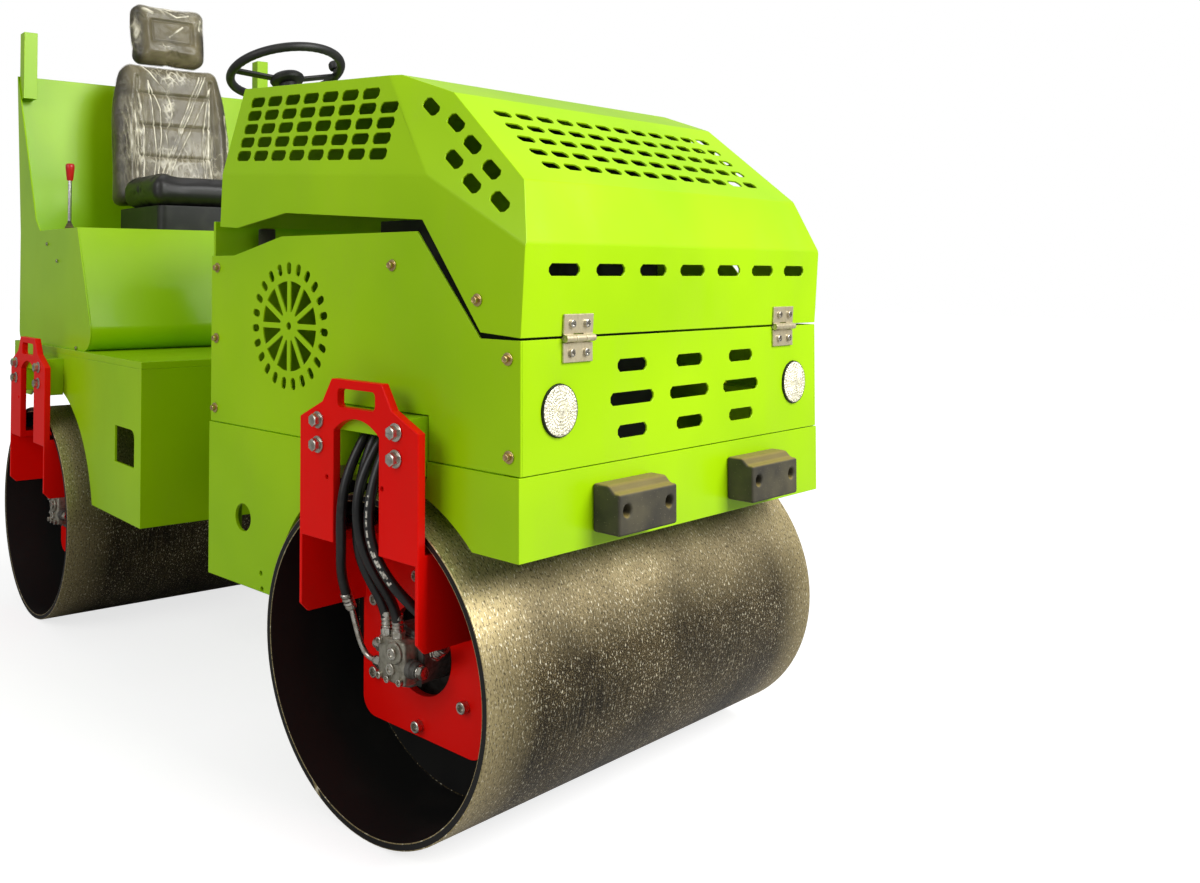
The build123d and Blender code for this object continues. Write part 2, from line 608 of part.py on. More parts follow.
def fork():
    """The right-hand fork, drawn at the front axle's place."""
    outline = [
        (-FORK_HEAD_HALF, FORK_TOP), (-FORK_NECK[0], FORK_NECK[1]), (-FORK_HALF, FORK_SHOULDER),
        (-FORK_HALF, FORK_LEDGE - FORK_PLATE), (FORK_HALF, FORK_LEDGE - FORK_PLATE),
        (FORK_HALF, FORK_SHOULDER), FORK_NECK, (FORK_HEAD_HALF, FORK_TOP),
    ]
    ledge_width = FORK_HALF - FORK_WINDOW_HALF
    ledge_depth = FORK_Y + FORK_PLATE - HUB_PLATE_Y
    with BuildPart() as leg:
        with BuildSketch(Plane.XZ.offset(FORK_Y)):
            Polygon(*outline, align=None)
            with BuildLine():
                Polyline(
                    (FORK_WINDOW_HALF, WINDOW_SPRING), (FORK_WINDOW_HALF, FORK_LEDGE - 2 * FORK_PLATE),
                    (-FORK_WINDOW_HALF, FORK_LEDGE - 2 * FORK_PLATE), (-FORK_WINDOW_HALF, WINDOW_SPRING),
                )
                ThreePointArc(
                    (-FORK_WINDOW_HALF, WINDOW_SPRING), (0, WINDOW_TOP), (FORK_WINDOW_HALF, WINDOW_SPRING)
                )
            make_face(mode=Mode.SUBTRACT)
            with Locations((0, HANDLE_Z)):
                RectangleRounded(*HANDLE, HANDLE_CORNER, mode=Mode.SUBTRACT)
            with Locations(*CLIPS):
                Circle(CLIP_R, mode=Mode.SUBTRACT)
        extrude(amount=FORK_PLATE)
        for side in (1, -1):
            with BuildSketch(Plane.XY.offset(FORK_LEDGE - FORK_PLATE)):
                with Locations((side * (FORK_WINDOW_HALF + ledge_width / 2), -HUB_PLATE_Y - ledge_depth / 2)):
                    Rectangle(ledge_width, ledge_depth)
            extrude(amount=FORK_PLATE)
            with BuildSketch(Plane.YZ.offset(side * (FORK_HALF - CHEEK / 2))):
                Polygon(
                    (-FORK_Y - FORK_PLATE, FORK_LEDGE), (-FORK_Y - FORK_PLATE, CHEEK_FOOT + FORK_PLATE),
                    (-FORK_Y, CHEEK_FOOT), (-HUB_PLATE_Y, CHEEK_FOOT), (-HUB_PLATE_Y, FORK_LEDGE), align=None,
                )
            extrude(amount=CHEEK / 2, both=True)
        with BuildSketch(Plane.XZ.offset(HUB_PLATE_Y)) as hub_plate:
            with Locations((0, (FORK_FOOT + FORK_LEDGE) / 2)):
                Rectangle(2 * FORK_HALF, FORK_LEDGE - FORK_FOOT)
            fillet(hub_plate.vertices().group_by(Axis.Z)[0], HUB_CORNER)
            with Locations((0, AXLE_Z)):
                Circle(HUB_HOLE_R, mode=Mode.SUBTRACT)
        extrude(amount=FORK_PLATE)
    return leg.part


def fork_brackets(inner):
    """The welded spacers between a body's sides and its two forks: upside-down U pieces."""
    with BuildPart() as bracket:
        with BuildSketch(Plane.XZ.offset(inner)):
            with Locations((0, (BRACKET_LOW + BRACKET_HIGH) / 2)):
                Rectangle(2 * BRACKET_HALF, BRACKET_HIGH - BRACKET_LOW)
            with Locations((0, BRACKET_LOW)):
                Rectangle(2 * FORK_WINDOW_HALF, 2 * (WINDOW_SPRING - BRACKET_LOW), mode=Mode.SUBTRACT)
        extrude(amount=FORK_Y - inner)
        mirror(about=Plane.XZ)
    return bracket.part


def rubber_mounts():
    """The rubber mounts between the hub plates and the motor plates of an axle."""
    with BuildPart() as mounts:
        with BuildSketch(Plane.XZ.offset(MOTOR_PLATE_Y + MOTOR_PLATE)):
            with Locations((0, AXLE_Z)):
                with PolarLocations(MOUNT_PCD / 2, MOUNTS, start_angle=90):
                    Circle(MOUNT_R)
        extrude(amount=HUB_PLATE_Y - MOTOR_PLATE_Y - MOTOR_PLATE)
        mirror(about=Plane.XZ)
    return mounts.part


MOTOR_R = 66
MOTOR_LENGTH = 120
PORT_BLOCK = (124, 104)
PORT_DEPTH = 56


def drum_motor():
    """The right-hand motor plate with its hydraulic motor and port block."""
    with BuildPart() as motor:
        with BuildSketch(Plane.XZ.offset(MOTOR_PLATE_Y)):
            with Locations((0, AXLE_Z)):
                Circle(MOUNT_PCD / 2 + MOUNT_R + 8)
                Circle(STUB_DIA / 2, mode=Mode.SUBTRACT)
        extrude(amount=MOTOR_PLATE)
        with BuildSketch(Plane.XZ.offset(MOTOR_PLATE_Y + MOTOR_PLATE)):
            with Locations((0, AXLE_Z)):
                Circle(MOTOR_R)
        extrude(amount=MOTOR_LENGTH)
        with BuildSketch(Plane.XZ.offset(MOTOR_PLATE_Y + MOTOR_PLATE + MOTOR_LENGTH)):
            with Locations((0, AXLE_Z)):
                Rectangle(*PORT_BLOCK)
        extrude(amount=PORT_DEPTH)
    return motor.part


right_fork = fork()
drum_mounts = rubber_mounts()
right_motor = drum_motor()
one_drum = drum()
front_brackets = fork_brackets(INNER_HALF)
rear_brackets = fork_brackets(REAR_HALF)
to_rear_axle = Location((-WHEELBASE, 0, 0))

# Hydraulic hoses: from the side beam out through the fork's window and down to the motor's ports
HOSE_R = 11
HOSE_BEND = 36
HOSE_OUT = FORK_Y + FORK_PLATE + 16
HOSE_PORTS = (-48, -18, 14, 44)
HOSE_START_Z = 800
hose_end_y = MOTOR_PLATE_Y + MOTOR_PLATE + MOTOR_LENGTH + PORT_DEPTH / 2
with BuildPart() as front_hoses:
    for index, port in enumerate(HOSE_PORTS):
        hose_out = HOSE_OUT + 9 * (index % 2)
        route = [
            (0.8 * port, -INNER_HALF, HOSE_START_Z), (0.8 * port, -INNER_HALF - 40, HOSE_START_Z),
            (0.9 * port, -hose_out, HOSE_START_Z - 75), (port, -hose_out - 4, FORK_LEDGE),
            (port, -hose_end_y, AXLE_Z + PORT_BLOCK[1] / 2 + 70), (port, -hose_end_y, AXLE_Z + PORT_BLOCK[1] / 2),
        ]
        with BuildLine() as path:
            FilletPolyline(*route, radius=HOSE_BEND)
        with BuildSketch(Plane(origin=route[0], z_dir=(0, -1, 0))):
            Circle(HOSE_R)
        sweep(path=path.line)
front_hoses.part.label = "front_hoses"

# Steering pins: the centre pivot's upright pin in the frame's lugs, and the cylinder's pin in its ears
PIN_FIT = 0.03
KNUCKLE_R = 65
KNUCKLE_CLEAR = 3
BEARING_LENGTH = 130
BEARING_WALL = 30
CAP_R = 66
CAP = 14
ARM_WIDTH = 62
ARM_LOW = 540
ARM_HIGH = 570
pin_low = PIVOT_Z - LUG_SPACE / 2 - LUG
pin_high = PIVOT_Z + LUG_SPACE / 2 + LUG
with BuildPart() as steering_pins:
    with BuildSketch(Plane.XY.offset(pin_low - 8)):
        with Locations((PIVOT_X, 0)):
            Circle(PIVOT_PIN / 2 - PIN_FIT)
    extrude(amount=pin_high - pin_low + 8)
    with BuildSketch(Plane.XY.offset(pin_high)):
        with Locations((PIVOT_X, 0)):
            Circle(PIVOT_PIN / 2 + 14)
    extrude(amount=12)
    with BuildSketch(Plane.XY.offset(CYLINDER_Z - EAR_SPACE / 2 - EAR - 6)):
        with Locations(CYLINDER_FOOT):
            Circle(FOOT_PIN / 2 - PIN_FIT)
    extrude(amount=EAR_SPACE + 2 * EAR + 12)
steering_pins.part.label = "steering_pins"

# Knuckle: turns on the pivot pin and carries the trunnion that the rear half rocks on
trunnion_end = REAR_FRONT - BEARING_LENGTH
arm_tip = (PIVOT_X - 17, ARM_REACH)
with BuildPart() as knuckle:
    with BuildSketch(Plane.XY.offset(PIVOT_Z - LUG_SPACE / 2 + KNUCKLE_CLEAR)):
        with Locations((PIVOT_X, 0)):
            Circle(KNUCKLE_R)
    extrude(amount=LUG_SPACE - 2 * KNUCKLE_CLEAR)
    with BuildSketch(Plane.YZ.offset(PIVOT_X)):
        with Locations((0, PIVOT_Z)):
            Circle(TRUNNION / 2)
    extrude(amount=trunnion_end - 1 - PIVOT_X)
    with BuildSketch(Plane.YZ.offset(trunnion_end - 1)):
        with Locations((0, PIVOT_Z)):
            Circle(CAP_R)
    extrude(amount=-CAP)
    with BuildSketch(Plane.XY.offset(ARM_LOW)):
        with Locations(arm_tip):
            Circle(ARM_WIDTH / 2)
        with Locations(((PIVOT_X + arm_tip[0]) / 2, ARM_REACH / 2)):
            Rectangle(ARM_WIDTH, ARM_REACH)
    extrude(amount=ARM_HIGH - ARM_LOW)
    with BuildSketch(Plane.XY.offset(PIVOT_Z - LUG_SPACE)):
        with Locations((PIVOT_X, 0)):
            Circle(PIVOT_PIN / 2 + AXLE_GAP)
    extrude(amount=2 * LUG_SPACE, mode=Mode.SUBTRACT)
knuckle.part.label = "knuckle"

# Steering cylinder: barrel on the front frame's ears, rod with its eye over the knuckle's arm
BARREL_R = 32
BARREL_BORE_R = 25
BARREL_BACK = 50
EYE_R = 27
EYE_GAP = 0.5
ROD_TAIL = 258
arm_tip_at_rest = turn(arm_tip, (PIVOT_X, 0), STEER_AT_REST)
reach = (arm_tip_at_rest[0] - CYLINDER_FOOT[0], arm_tip_at_rest[1] - CYLINDER_FOOT[1])
cylinder_length = hypot(*reach)
cylinder_turn = degrees(atan2(reach[1], reach[0]))
along_cylinder = Location((CYLINDER_FOOT[0], CYLINDER_FOOT[1], CYLINDER_Z), (0, 0, cylinder_turn))

with BuildPart() as barrel_straight:
    with BuildSketch(Plane.XY.offset(-EAR_SPACE / 2 + 1)):
        Circle(EYE_R)
        with Locations((BARREL_BACK / 2, 0)):
            Rectangle(BARREL_BACK, 1.4 * EYE_R)
    extrude(amount=EAR_SPACE - 2)
    with BuildSketch(Plane.YZ.offset(EYE_R + 4)):
        Circle(BARREL_R)
    extrude(amount=BARREL_LENGTH - EYE_R - 4)
    with BuildSketch(Plane.YZ.offset(BARREL_BACK)):
        Circle(BARREL_BORE_R)
    extrude(amount=BARREL_LENGTH - BARREL_BACK - 25, mode=Mode.SUBTRACT)
    with BuildSketch(Plane.YZ.offset(BARREL_BACK)):
        Circle(ROD_DIA / 2 + AXLE_GAP)
    extrude(amount=BARREL_LENGTH, mode=Mode.SUBTRACT)
    with BuildSketch(Plane.XY.offset(-EAR_SPACE)):
        Circle(FOOT_PIN / 2 + AXLE_GAP)
    extrude(amount=2 * EAR_SPACE, mode=Mode.SUBTRACT)
steering_barrel_part = barrel_straight.part.moved(along_cylinder)

with BuildPart() as rod_straight:
    with BuildSketch(Plane.YZ.offset(cylinder_length - ROD_TAIL)):
        Circle(ROD_DIA / 2)
    extrude(amount=ROD_TAIL)
    with BuildSketch(Plane.XY.offset(-EAR_SPACE / 2)):
        with Locations((cylinder_length, 0)):
            Circle(EYE_R)
    extrude(amount=EAR_SPACE)
    with BuildSketch(Plane.XY.offset(ARM_HIGH + EYE_GAP - CYLINDER_Z)):
        with Locations((cylinder_length, 0)):
            Circle(FOOT_PIN / 2)
    extrude(amount=EAR_SPACE + CYLINDER_Z - ARM_HIGH)
steering_rod_part = rod_straight.part.moved(along_cylinder)

# Rear frame: side plates over the rear drum, front wall with the trunnion's bearing, and cross plates
HAND_HOLE = (152, 106)
HAND_HOLE_AT = (-1125, 654)
HAND_CORNER = 25
REAR_TAIL_LOW = 720
REAR_CROSS = (-1440, -2160)
rear_axle = -WHEELBASE
deck_floor = DECK_TOP - DECK
with BuildPart() as rear_frame:
    for side in (1, -1):
        with BuildSketch(Plane.XZ.offset(side * (REAR_HALF - REAR_SHEET))):
            Polygon(
                (REAR_FRONT, REAR_BOTTOM), (rear_axle, REAR_BOTTOM), (rear_axle, REAR_TAIL_LOW),
                (REAR_BACK, REAR_TAIL_LOW), (REAR_BACK, deck_floor), (REAR_FRONT, deck_floor), align=None,
            )
            with Locations((rear_axle, AXLE_Z)):
                Circle(AXLE_Z + REAR_ARCH_GAP, mode=Mode.SUBTRACT)
            with BuildSketch(mode=Mode.PRIVATE) as hand_hole:
                with Locations(HAND_HOLE_AT):
                    Rectangle(*HAND_HOLE)
                fillet(hand_hole.vertices().sort_by(Axis.X)[-2:].sort_by(Axis.Y)[-1], HAND_CORNER)
            add(hand_hole.sketch, mode=Mode.SUBTRACT)
        extrude(amount=side * REAR_SHEET)
    with BuildSketch(Plane.YZ.offset(REAR_FRONT)):
        with Locations((0, (REAR_BOTTOM + deck_floor) / 2)):
            Rectangle(REAR_WIDTH - 2 * REAR_SHEET, deck_floor - REAR_BOTTOM)
    extrude(amount=-REAR_SHEET)
    for cross in (*REAR_CROSS, REAR_BACK + REAR_SHEET):
        with BuildSketch(Plane.YZ.offset(cross)):
            with Locations((0, (REAR_TAIL_LOW + deck_floor) / 2)):
                Rectangle(REAR_WIDTH - 2 * REAR_SHEET, deck_floor - REAR_TAIL_LOW)
        extrude(amount=-REAR_SHEET)
    with BuildSketch(Plane.YZ.offset(REAR_FRONT)):
        with Locations((0, PIVOT_Z)):
            Circle(TRUNNION / 2 + BEARING_WALL)
    extrude(amount=-BEARING_LENGTH)
    with BuildSketch(Plane.YZ.offset(REAR_FRONT)):
        with Locations((0, PIVOT_Z)):
            Circle(TRUNNION / 2 + AXLE_GAP)
    extrude(amount=-BEARING_LENGTH, mode=Mode.SUBTRACT)
rear_frame.part.label = "rear_frame"

# Deck plate over the rear frame
with BuildPart() as deck:
    with BuildSketch(Plane.XY.offset(deck_floor)):
        with Locations(((REAR_FRONT + REAR_BACK) / 2, 0)):
            Rectangle(REAR_FRONT - REAR_BACK, REAR_WIDTH)
    extrude(amount=DECK)
deck.part.label = "deck"

# Seat box: one folded sheet, with a sloping front that rolls over into the top
BOX_ROLL = 60
BOX_SHEET = 5
wing_inner = WING_HALF - WING_SHEET
with BuildPart() as seat_box:
    with BuildSketch(Plane.XZ.offset(-wing_inner)) as box_section:
        Polygon(
            (BOX_FOOT, DECK_TOP), (BOX_NOSE, BOX_TOP), (REAR_BACK + WING_SHEET, BOX_TOP),
            (REAR_BACK + WING_SHEET, DECK_TOP), align=None,
        )
        fillet(box_section.vertices().group_by(Axis.Z)[-1].sort_by(Axis.X)[-1], BOX_ROLL)
        offset(amount=-BOX_SHEET, mode=Mode.SUBTRACT)
    extrude(amount=2 * wing_inner)
seat_box.part.label = "seat_box"

# Side wings: flat sheets that close the seat box's ends and rise to the rear wall's corners
WING_LOW_BACK = -1967
WING_RISE_FOOT = (-2049, 1345)
WING_FILLET = 40
with BuildPart() as wing_right:
    with BuildSketch(Plane.XZ.offset(wing_inner)) as wing_outline:
        Polygon(
            (BOX_FOOT, DECK_TOP), (BOX_NOSE, BOX_TOP), (WING_LOW_BACK - 30, BOX_TOP), WING_RISE_FOOT,
            (WALL_TOP_X + WING_SHEET, WALL_TOP), (WALL_TOP_X, WALL_TOP), (REAR_BACK, BOX_TOP),
            (REAR_BACK, DECK_TOP), align=None,
        )
        fillet(wing_outline.vertices().sort_by_distance((BOX_NOSE, -wing_inner, BOX_TOP))[0], BOX_ROLL)
        fillet(wing_outline.vertices().sort_by_distance((WING_LOW_BACK - 30, -wing_inner, BOX_TOP))[0], WING_FILLET)
    extrude(amount=WING_SHEET)
wing_right.part.label = "wing_right"
wing_left_part = left_of(wing_right.part)

# Rear wall: one sheet with a fold at the seat box's height
with BuildPart() as rear_wall:
    with BuildSketch(Plane.XZ.offset(-wing_inner)):
        Polygon(
            (REAR_BACK, DECK_TOP), (REAR_BACK, BOX_TOP), (WALL_TOP_X, WALL_TOP),
            (WALL_TOP_X + WING_SHEET, WALL_TOP), (REAR_BACK + WING_SHEET, BOX_TOP),
            (REAR_BACK + WING_SHEET, DECK_TOP), align=None,
        )
    extrude(amount=2 * wing_inner)
rear_wall.part.label = "rear_wall"

# Post stubs: square tubes inside the rear wall's corners, open on top for a canopy's posts
POST_WALL = 5
POST_LOW = 1810
POST_BACK = WALL_TOP_X + 16
with BuildPart() as post_stubs:
    with BuildSketch(Plane.XY.offset(POST_LOW)):
        with Locations((POST_BACK + POST / 2, wing_inner - POST / 2), (POST_BACK + POST / 2, POST / 2 - wing_inner)):
            Rectangle(POST, POST)
            Rectangle(POST - 2 * POST_WALL, POST - 2 * POST_WALL, mode=Mode.SUBTRACT)
    extrude(amount=POST_TOP - POST_LOW)
post_stubs.part.label = "post_stubs"

# Seat: base, cushion, backrest and headrest
SEAT_FROM_BACK = 125
SEAT_LENGTH = 460
SEAT_BASE_HEIGHT = 90
CUSHION_HEIGHT = 103
BACK_HEIGHT = 563
HEAD_HEIGHT = 233
SEAT_BACK = REAR_BACK + SEAT_FROM_BACK
SEAT_FRONT = SEAT_BACK + SEAT_LENGTH
SEAT_BASE_TOP = BOX_TOP + SEAT_BASE_HEIGHT
SEAT_TOP = SEAT_BASE_TOP + CUSHION_HEIGHT
SEAT_GAP = 0.3
BACK_TOP = SEAT_BASE_TOP + BACK_HEIGHT
BACK_DEPTH = 115
BACK_LEAN = 6
HEAD_WIDTH = 300
HEAD_DEPTH = 95
HEAD_GAP = 4
HEAD_TOP = BACK_TOP + HEAD_GAP + HEAD_HEIGHT
STEM_R = 6
with BuildPart() as seat_base:
    with BuildSketch(Plane.XY.offset(BOX_TOP)):
        with Locations(((SEAT_BACK + SEAT_FRONT) / 2, SEAT_Y)):
            RectangleRounded(SEAT_FRONT - SEAT_BACK - 60, SEAT_WIDTH - 70, 30)
    extrude(amount=SEAT_BASE_TOP - BOX_TOP)
seat_base.part.label = "seat_base"

with BuildPart() as seat_cushion:
    with BuildSketch(Plane.XY.offset(SEAT_BASE_TOP + SEAT_GAP)):
        with Locations(((SEAT_BACK + BACK_DEPTH + SEAT_FRONT) / 2, SEAT_Y)):
            RectangleRounded(SEAT_FRONT - SEAT_BACK - BACK_DEPTH - SEAT_GAP, SEAT_WIDTH, 50)
    extrude(amount=SEAT_TOP - SEAT_BASE_TOP - SEAT_GAP)
seat_cushion.part.label = "seat_cushion"

back_plane = Plane.XZ.offset(-SEAT_Y - SEAT_WIDTH / 2)
lean = (BACK_TOP - SEAT_BASE_TOP) * sin(radians(BACK_LEAN))
with BuildPart() as seat_backrest:
    with BuildSketch(back_plane):
        Polygon(
            (SEAT_BACK + BACK_DEPTH - SEAT_GAP, SEAT_BASE_TOP + SEAT_GAP), (SEAT_BACK, SEAT_BASE_TOP + SEAT_GAP),
            (SEAT_BACK - lean, BACK_TOP), (SEAT_BACK + BACK_DEPTH - lean - 25, BACK_TOP), align=None,
        )
    extrude(amount=SEAT_WIDTH)
    fillet(seat_backrest.edges().group_by(Axis.Z)[-1].filter_by(Axis.X), 55)
seat_backrest.part.label = "seat_backrest"

head_back = SEAT_BACK - lean + 6
with BuildPart() as seat_headrest:
    with BuildSketch(Plane.YZ.offset(head_back)):
        with Locations((SEAT_Y, (BACK_TOP + HEAD_GAP + HEAD_TOP) / 2)):
            RectangleRounded(HEAD_WIDTH, HEAD_TOP - BACK_TOP - HEAD_GAP, 48)
    extrude(amount=HEAD_DEPTH)
    with BuildSketch(Plane.XY.offset(BACK_TOP)):
        with Locations((head_back + HEAD_DEPTH / 2, SEAT_Y - 70), (head_back + HEAD_DEPTH / 2, SEAT_Y + 70)):
            Circle(STEM_R)
    extrude(amount=HEAD_GAP + 20)
seat_headrest.part.label = "seat_headrest"

# Steering console and column
CONSOLE_FRONT = -1012
CONSOLE_DEPTH = 150
CONSOLE_WIDTH = 240
CONSOLE_BROW = (-925, 1575)
CONSOLE_SILL = (-1090, 1520)
COLUMN_R = 28
SHAFT_R = 11
HUB_R = 54
HUB_DEPTH = 40
wheel_axis = Vector(-sin(radians(WHEEL_TILT)), 0, cos(radians(WHEEL_TILT)))
wheel_centre = Vector(WHEEL_X, WHEEL_Y, WHEEL_Z)
column_top = wheel_centre - wheel_axis * HUB_DEPTH
column_foot = wheel_centre - wheel_axis * (WHEEL_Z - CONSOLE_SILL[1] + COLUMN_R)
with BuildPart() as console:
    with BuildSketch(Plane.XZ.offset(-WHEEL_Y - CONSOLE_WIDTH / 2)):
        Polygon(
            (CONSOLE_FRONT, DECK_TOP), (CONSOLE_FRONT - CONSOLE_DEPTH, DECK_TOP),
            CONSOLE_SILL, CONSOLE_BROW, align=None,
        )
    extrude(amount=CONSOLE_WIDTH)
    with BuildSketch(Plane(origin=column_foot, x_dir=(0, 1, 0), z_dir=wheel_axis)):
        Circle(COLUMN_R)
    extrude(amount=(column_top - column_foot).length - 2)
    with BuildSketch(Plane(origin=column_top - wheel_axis * 2, x_dir=(0, 1, 0), z_dir=wheel_axis)):
        Circle(SHAFT_R - AXLE_GAP)
    extrude(amount=HUB_DEPTH / 2)
console.part.label = "console"

# Steering wheel: ring, two spokes, hub and spinner knob
SPOKES = 2
KNOB_R = 20
KNOB_TURN = 173
KNOB_HEIGHT = 46
ring_r = WHEEL_DIA / 2 - WHEEL_GRIP / 2
wheel_plane = Plane(origin=wheel_centre, x_dir=(0, -1, 0), z_dir=wheel_axis)
with BuildPart() as steering_wheel:
    with BuildSketch(Plane(origin=wheel_centre, x_dir=wheel_plane.x_dir, z_dir=wheel_plane.y_dir)):
        with Locations((ring_r, 0)):
            Circle(WHEEL_GRIP / 2)
    revolve(axis=Axis(wheel_centre, wheel_axis))
    with BuildSketch(wheel_plane.offset(-HUB_DEPTH)):
        Circle(HUB_R)
    extrude(amount=HUB_DEPTH + 6)
    with BuildSketch(wheel_plane.offset(-7)):
        with PolarLocations(ring_r / 2, SPOKES, start_angle=KNOB_TURN):
            Rectangle(ring_r, 26)
    extrude(amount=10)
    with BuildSketch(wheel_plane.offset(2)):
        with PolarLocations(ring_r, 1, start_angle=KNOB_TURN):
            Circle(KNOB_R)
    extrude(amount=KNOB_HEIGHT)
    with BuildSketch(wheel_plane.offset(-HUB_DEPTH)):
        Circle(SHAFT_R)
    extrude(amount=HUB_DEPTH / 2 - 1, mode=Mode.SUBTRACT)
steering_wheel.part.label = "steering_wheel"

# Control lever beside the seat: a thin rod with a knob
LEVER_AT = (-1833, -468)
LEVER_R = 6
LEVER_KNOB_LOW = 1477
LEVER_KNOB_HIGH = 1535
LEVER_KNOB_R = 16
with BuildPart() as control_lever:
    with BuildSketch(Plane.XY.offset(BOX_TOP)):
        with Locations(LEVER_AT):
            Circle(LEVER_R)
    extrude(amount=LEVER_KNOB_LOW - BOX_TOP)
    with BuildSketch(Plane.XY.offset(BOX_TOP)):
        with Locations(LEVER_AT):
            Circle(3 * LEVER_R)
    extrude(amount=2 * LEVER_R)
    with BuildSketch(Plane.XY.offset(LEVER_KNOB_LOW)):
        with Locations(LEVER_AT):
            Circle(LEVER_KNOB_R)
    extrude(amount=LEVER_KNOB_HIGH - LEVER_KNOB_LOW)
    fillet(control_lever.edges().group_by(Axis.Z)[-1], LEVER_KNOB_R - 2)
control_lever.part.label = "control_lever"

# The pieces by the half of the machine that carries them
front_pieces = {
    "front_frame": front_frame.part,
    "bulkhead": bulkhead.part,
    "pivot_frame": pivot_frame.part,
    "side_panel_right": side_panel_right.part,
    "side_panel_left": side_panel_left_part,
    "front_panel": front_panel.part,
    "head_lamps": head_lamps.part,
    "bumper_blocks": bumper_blocks.part,
    "hood_hinges_lower": hood_hinges_lower.part,
    "hood_buffers": hood_buffers.part,
    "engine": engine.part,
    "front_brackets": front_brackets,
    "front_fork_right": right_fork,
    "front_fork_left": left_of(right_fork),
    "front_mounts": drum_mounts,
    "front_motor_right": right_motor,
    "front_motor_left": left_of(right_motor),
    "front_hoses": front_hoses.part,
    "front_drum": one_drum,
    "steering_pins": steering_pins.part,
    "steering_barrel": steering_barrel_part,
    "steering_rod": steering_rod_part,
}
hood_pieces = {"hood": hood.part, "hood_hinges_upper": hood_hinges_upper.part}
rear_pieces = {
    "knuckle": knuckle.part,
    "rear_frame": rear_frame.part,
    "deck": deck.part,
    "rear_brackets": rear_brackets.moved(to_rear_axle),
    "rear_fork_right": right_fork.moved(to_rear_axle),
    "rear_fork_left": left_of(right_fork).moved(to_rear_axle),
    "rear_mounts": drum_mounts.moved(to_rear_axle),
    "rear_motor_right": right_motor.moved(to_rear_axle),
    "rear_motor_left": left_of(right_motor).moved(to_rear_axle),
    "rear_drum": one_drum.moved(to_rear_axle),
    "seat_box": seat_box.part,
    "wing_right": wing_right.part,
    "wing_left": wing_left_part,
    "rear_wall": rear_wall.part,
    "post_stubs": post_stubs.part,
    "seat_base": seat_base.part,
    "seat_cushion": seat_cushion.part,
    "seat_backrest": seat_backrest.part,
    "seat_headrest": seat_headrest.part,
    "console": console.part,
    "steering_wheel": steering_wheel.part,
    "control_lever": control_lever.part,
}

# Set the rear half and the hood as they stand, and bring the origin under the middle of the machine
steer_axis = Axis((PIVOT_X, 0, 0), (0, 0, 1))
hood_axis = Axis((HINGE_X, 0, HINGE_Z), (0, 1, 0))
standing = dict(front_pieces)
for name, piece in hood_pieces.items():
    standing[name] = piece.rotate(hood_axis, HOOD_AJAR)
for name, piece in rear_pieces.items():
    standing[name] = piece.rotate(steer_axis, STEER_AT_REST)
whole = Compound(children=[Part(piece.wrapped) for piece in standing.values()]).bounding_box()
middle = whole.center()
ORIGIN_SHIFT = (-middle.X, -middle.Y, -whole.min.Z)
for name, piece in standing.items():
    placed = piece.moved(Location(ORIGIN_SHIFT))
    placed.label = name
    export_step(placed, f"parts/{name}.step")
print("origin shift", [round(value, 4) for value in ORIGIN_SHIFT], "pieces", len(standing))
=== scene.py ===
import json
from math import atan2, cos, exp, hypot, pi, radians, sin

import bmesh
import bpy
from mathutils import Matrix, Vector, noise

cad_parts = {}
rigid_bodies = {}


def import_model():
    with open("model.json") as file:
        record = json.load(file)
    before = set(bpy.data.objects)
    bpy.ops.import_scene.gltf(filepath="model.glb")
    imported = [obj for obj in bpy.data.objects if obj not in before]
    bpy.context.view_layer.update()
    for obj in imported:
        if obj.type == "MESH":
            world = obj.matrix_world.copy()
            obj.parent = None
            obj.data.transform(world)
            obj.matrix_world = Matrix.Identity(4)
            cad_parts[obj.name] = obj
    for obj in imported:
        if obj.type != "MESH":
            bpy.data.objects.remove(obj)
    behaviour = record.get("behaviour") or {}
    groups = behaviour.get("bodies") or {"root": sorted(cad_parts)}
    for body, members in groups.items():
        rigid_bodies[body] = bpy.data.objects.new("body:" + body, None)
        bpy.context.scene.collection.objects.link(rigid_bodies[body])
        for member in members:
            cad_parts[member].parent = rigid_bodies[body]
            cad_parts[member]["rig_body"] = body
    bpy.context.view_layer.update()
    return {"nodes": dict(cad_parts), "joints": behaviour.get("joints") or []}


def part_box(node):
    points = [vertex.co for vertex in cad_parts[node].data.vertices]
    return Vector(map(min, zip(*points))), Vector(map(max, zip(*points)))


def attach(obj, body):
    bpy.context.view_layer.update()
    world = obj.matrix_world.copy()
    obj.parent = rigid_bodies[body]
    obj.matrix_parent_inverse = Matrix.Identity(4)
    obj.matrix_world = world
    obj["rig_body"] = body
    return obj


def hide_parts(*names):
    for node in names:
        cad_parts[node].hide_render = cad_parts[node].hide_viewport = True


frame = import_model()

# The machine's three standing places. Pieces are drawn on the straight machine, in metres, with the front axle's
# middle over X = 0 and the ground at Z = 0. The front half stands square, the hood rests a little open on its
# hinges, and the rear half is swung about the centre pivot.
HOOD_AJAR = radians(3.8)
drum_low, drum_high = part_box("front_drum")
front_place = Matrix.Translation(((drum_low.x + drum_high.x) / 2, (drum_low.y + drum_high.y) / 2, 0))
joint = {entry["name"]: entry for entry in frame["joints"]}


def turned_about(joint_name, angle, axis):
    """The front half's place, then turned about a joint's point."""
    point = Vector(joint[joint_name]["pos_m"])
    spin = Matrix.Translation(point) @ Matrix.Rotation(angle, 4, axis) @ Matrix.Translation(-point)
    return spin @ front_place


rear_heading = joint["oscillation"]["axis"]
hood_place = turned_about("hood_hinge", HOOD_AJAR, "Y")
rear_place = turned_about("steering", atan2(rear_heading[1], rear_heading[0]), "Z")

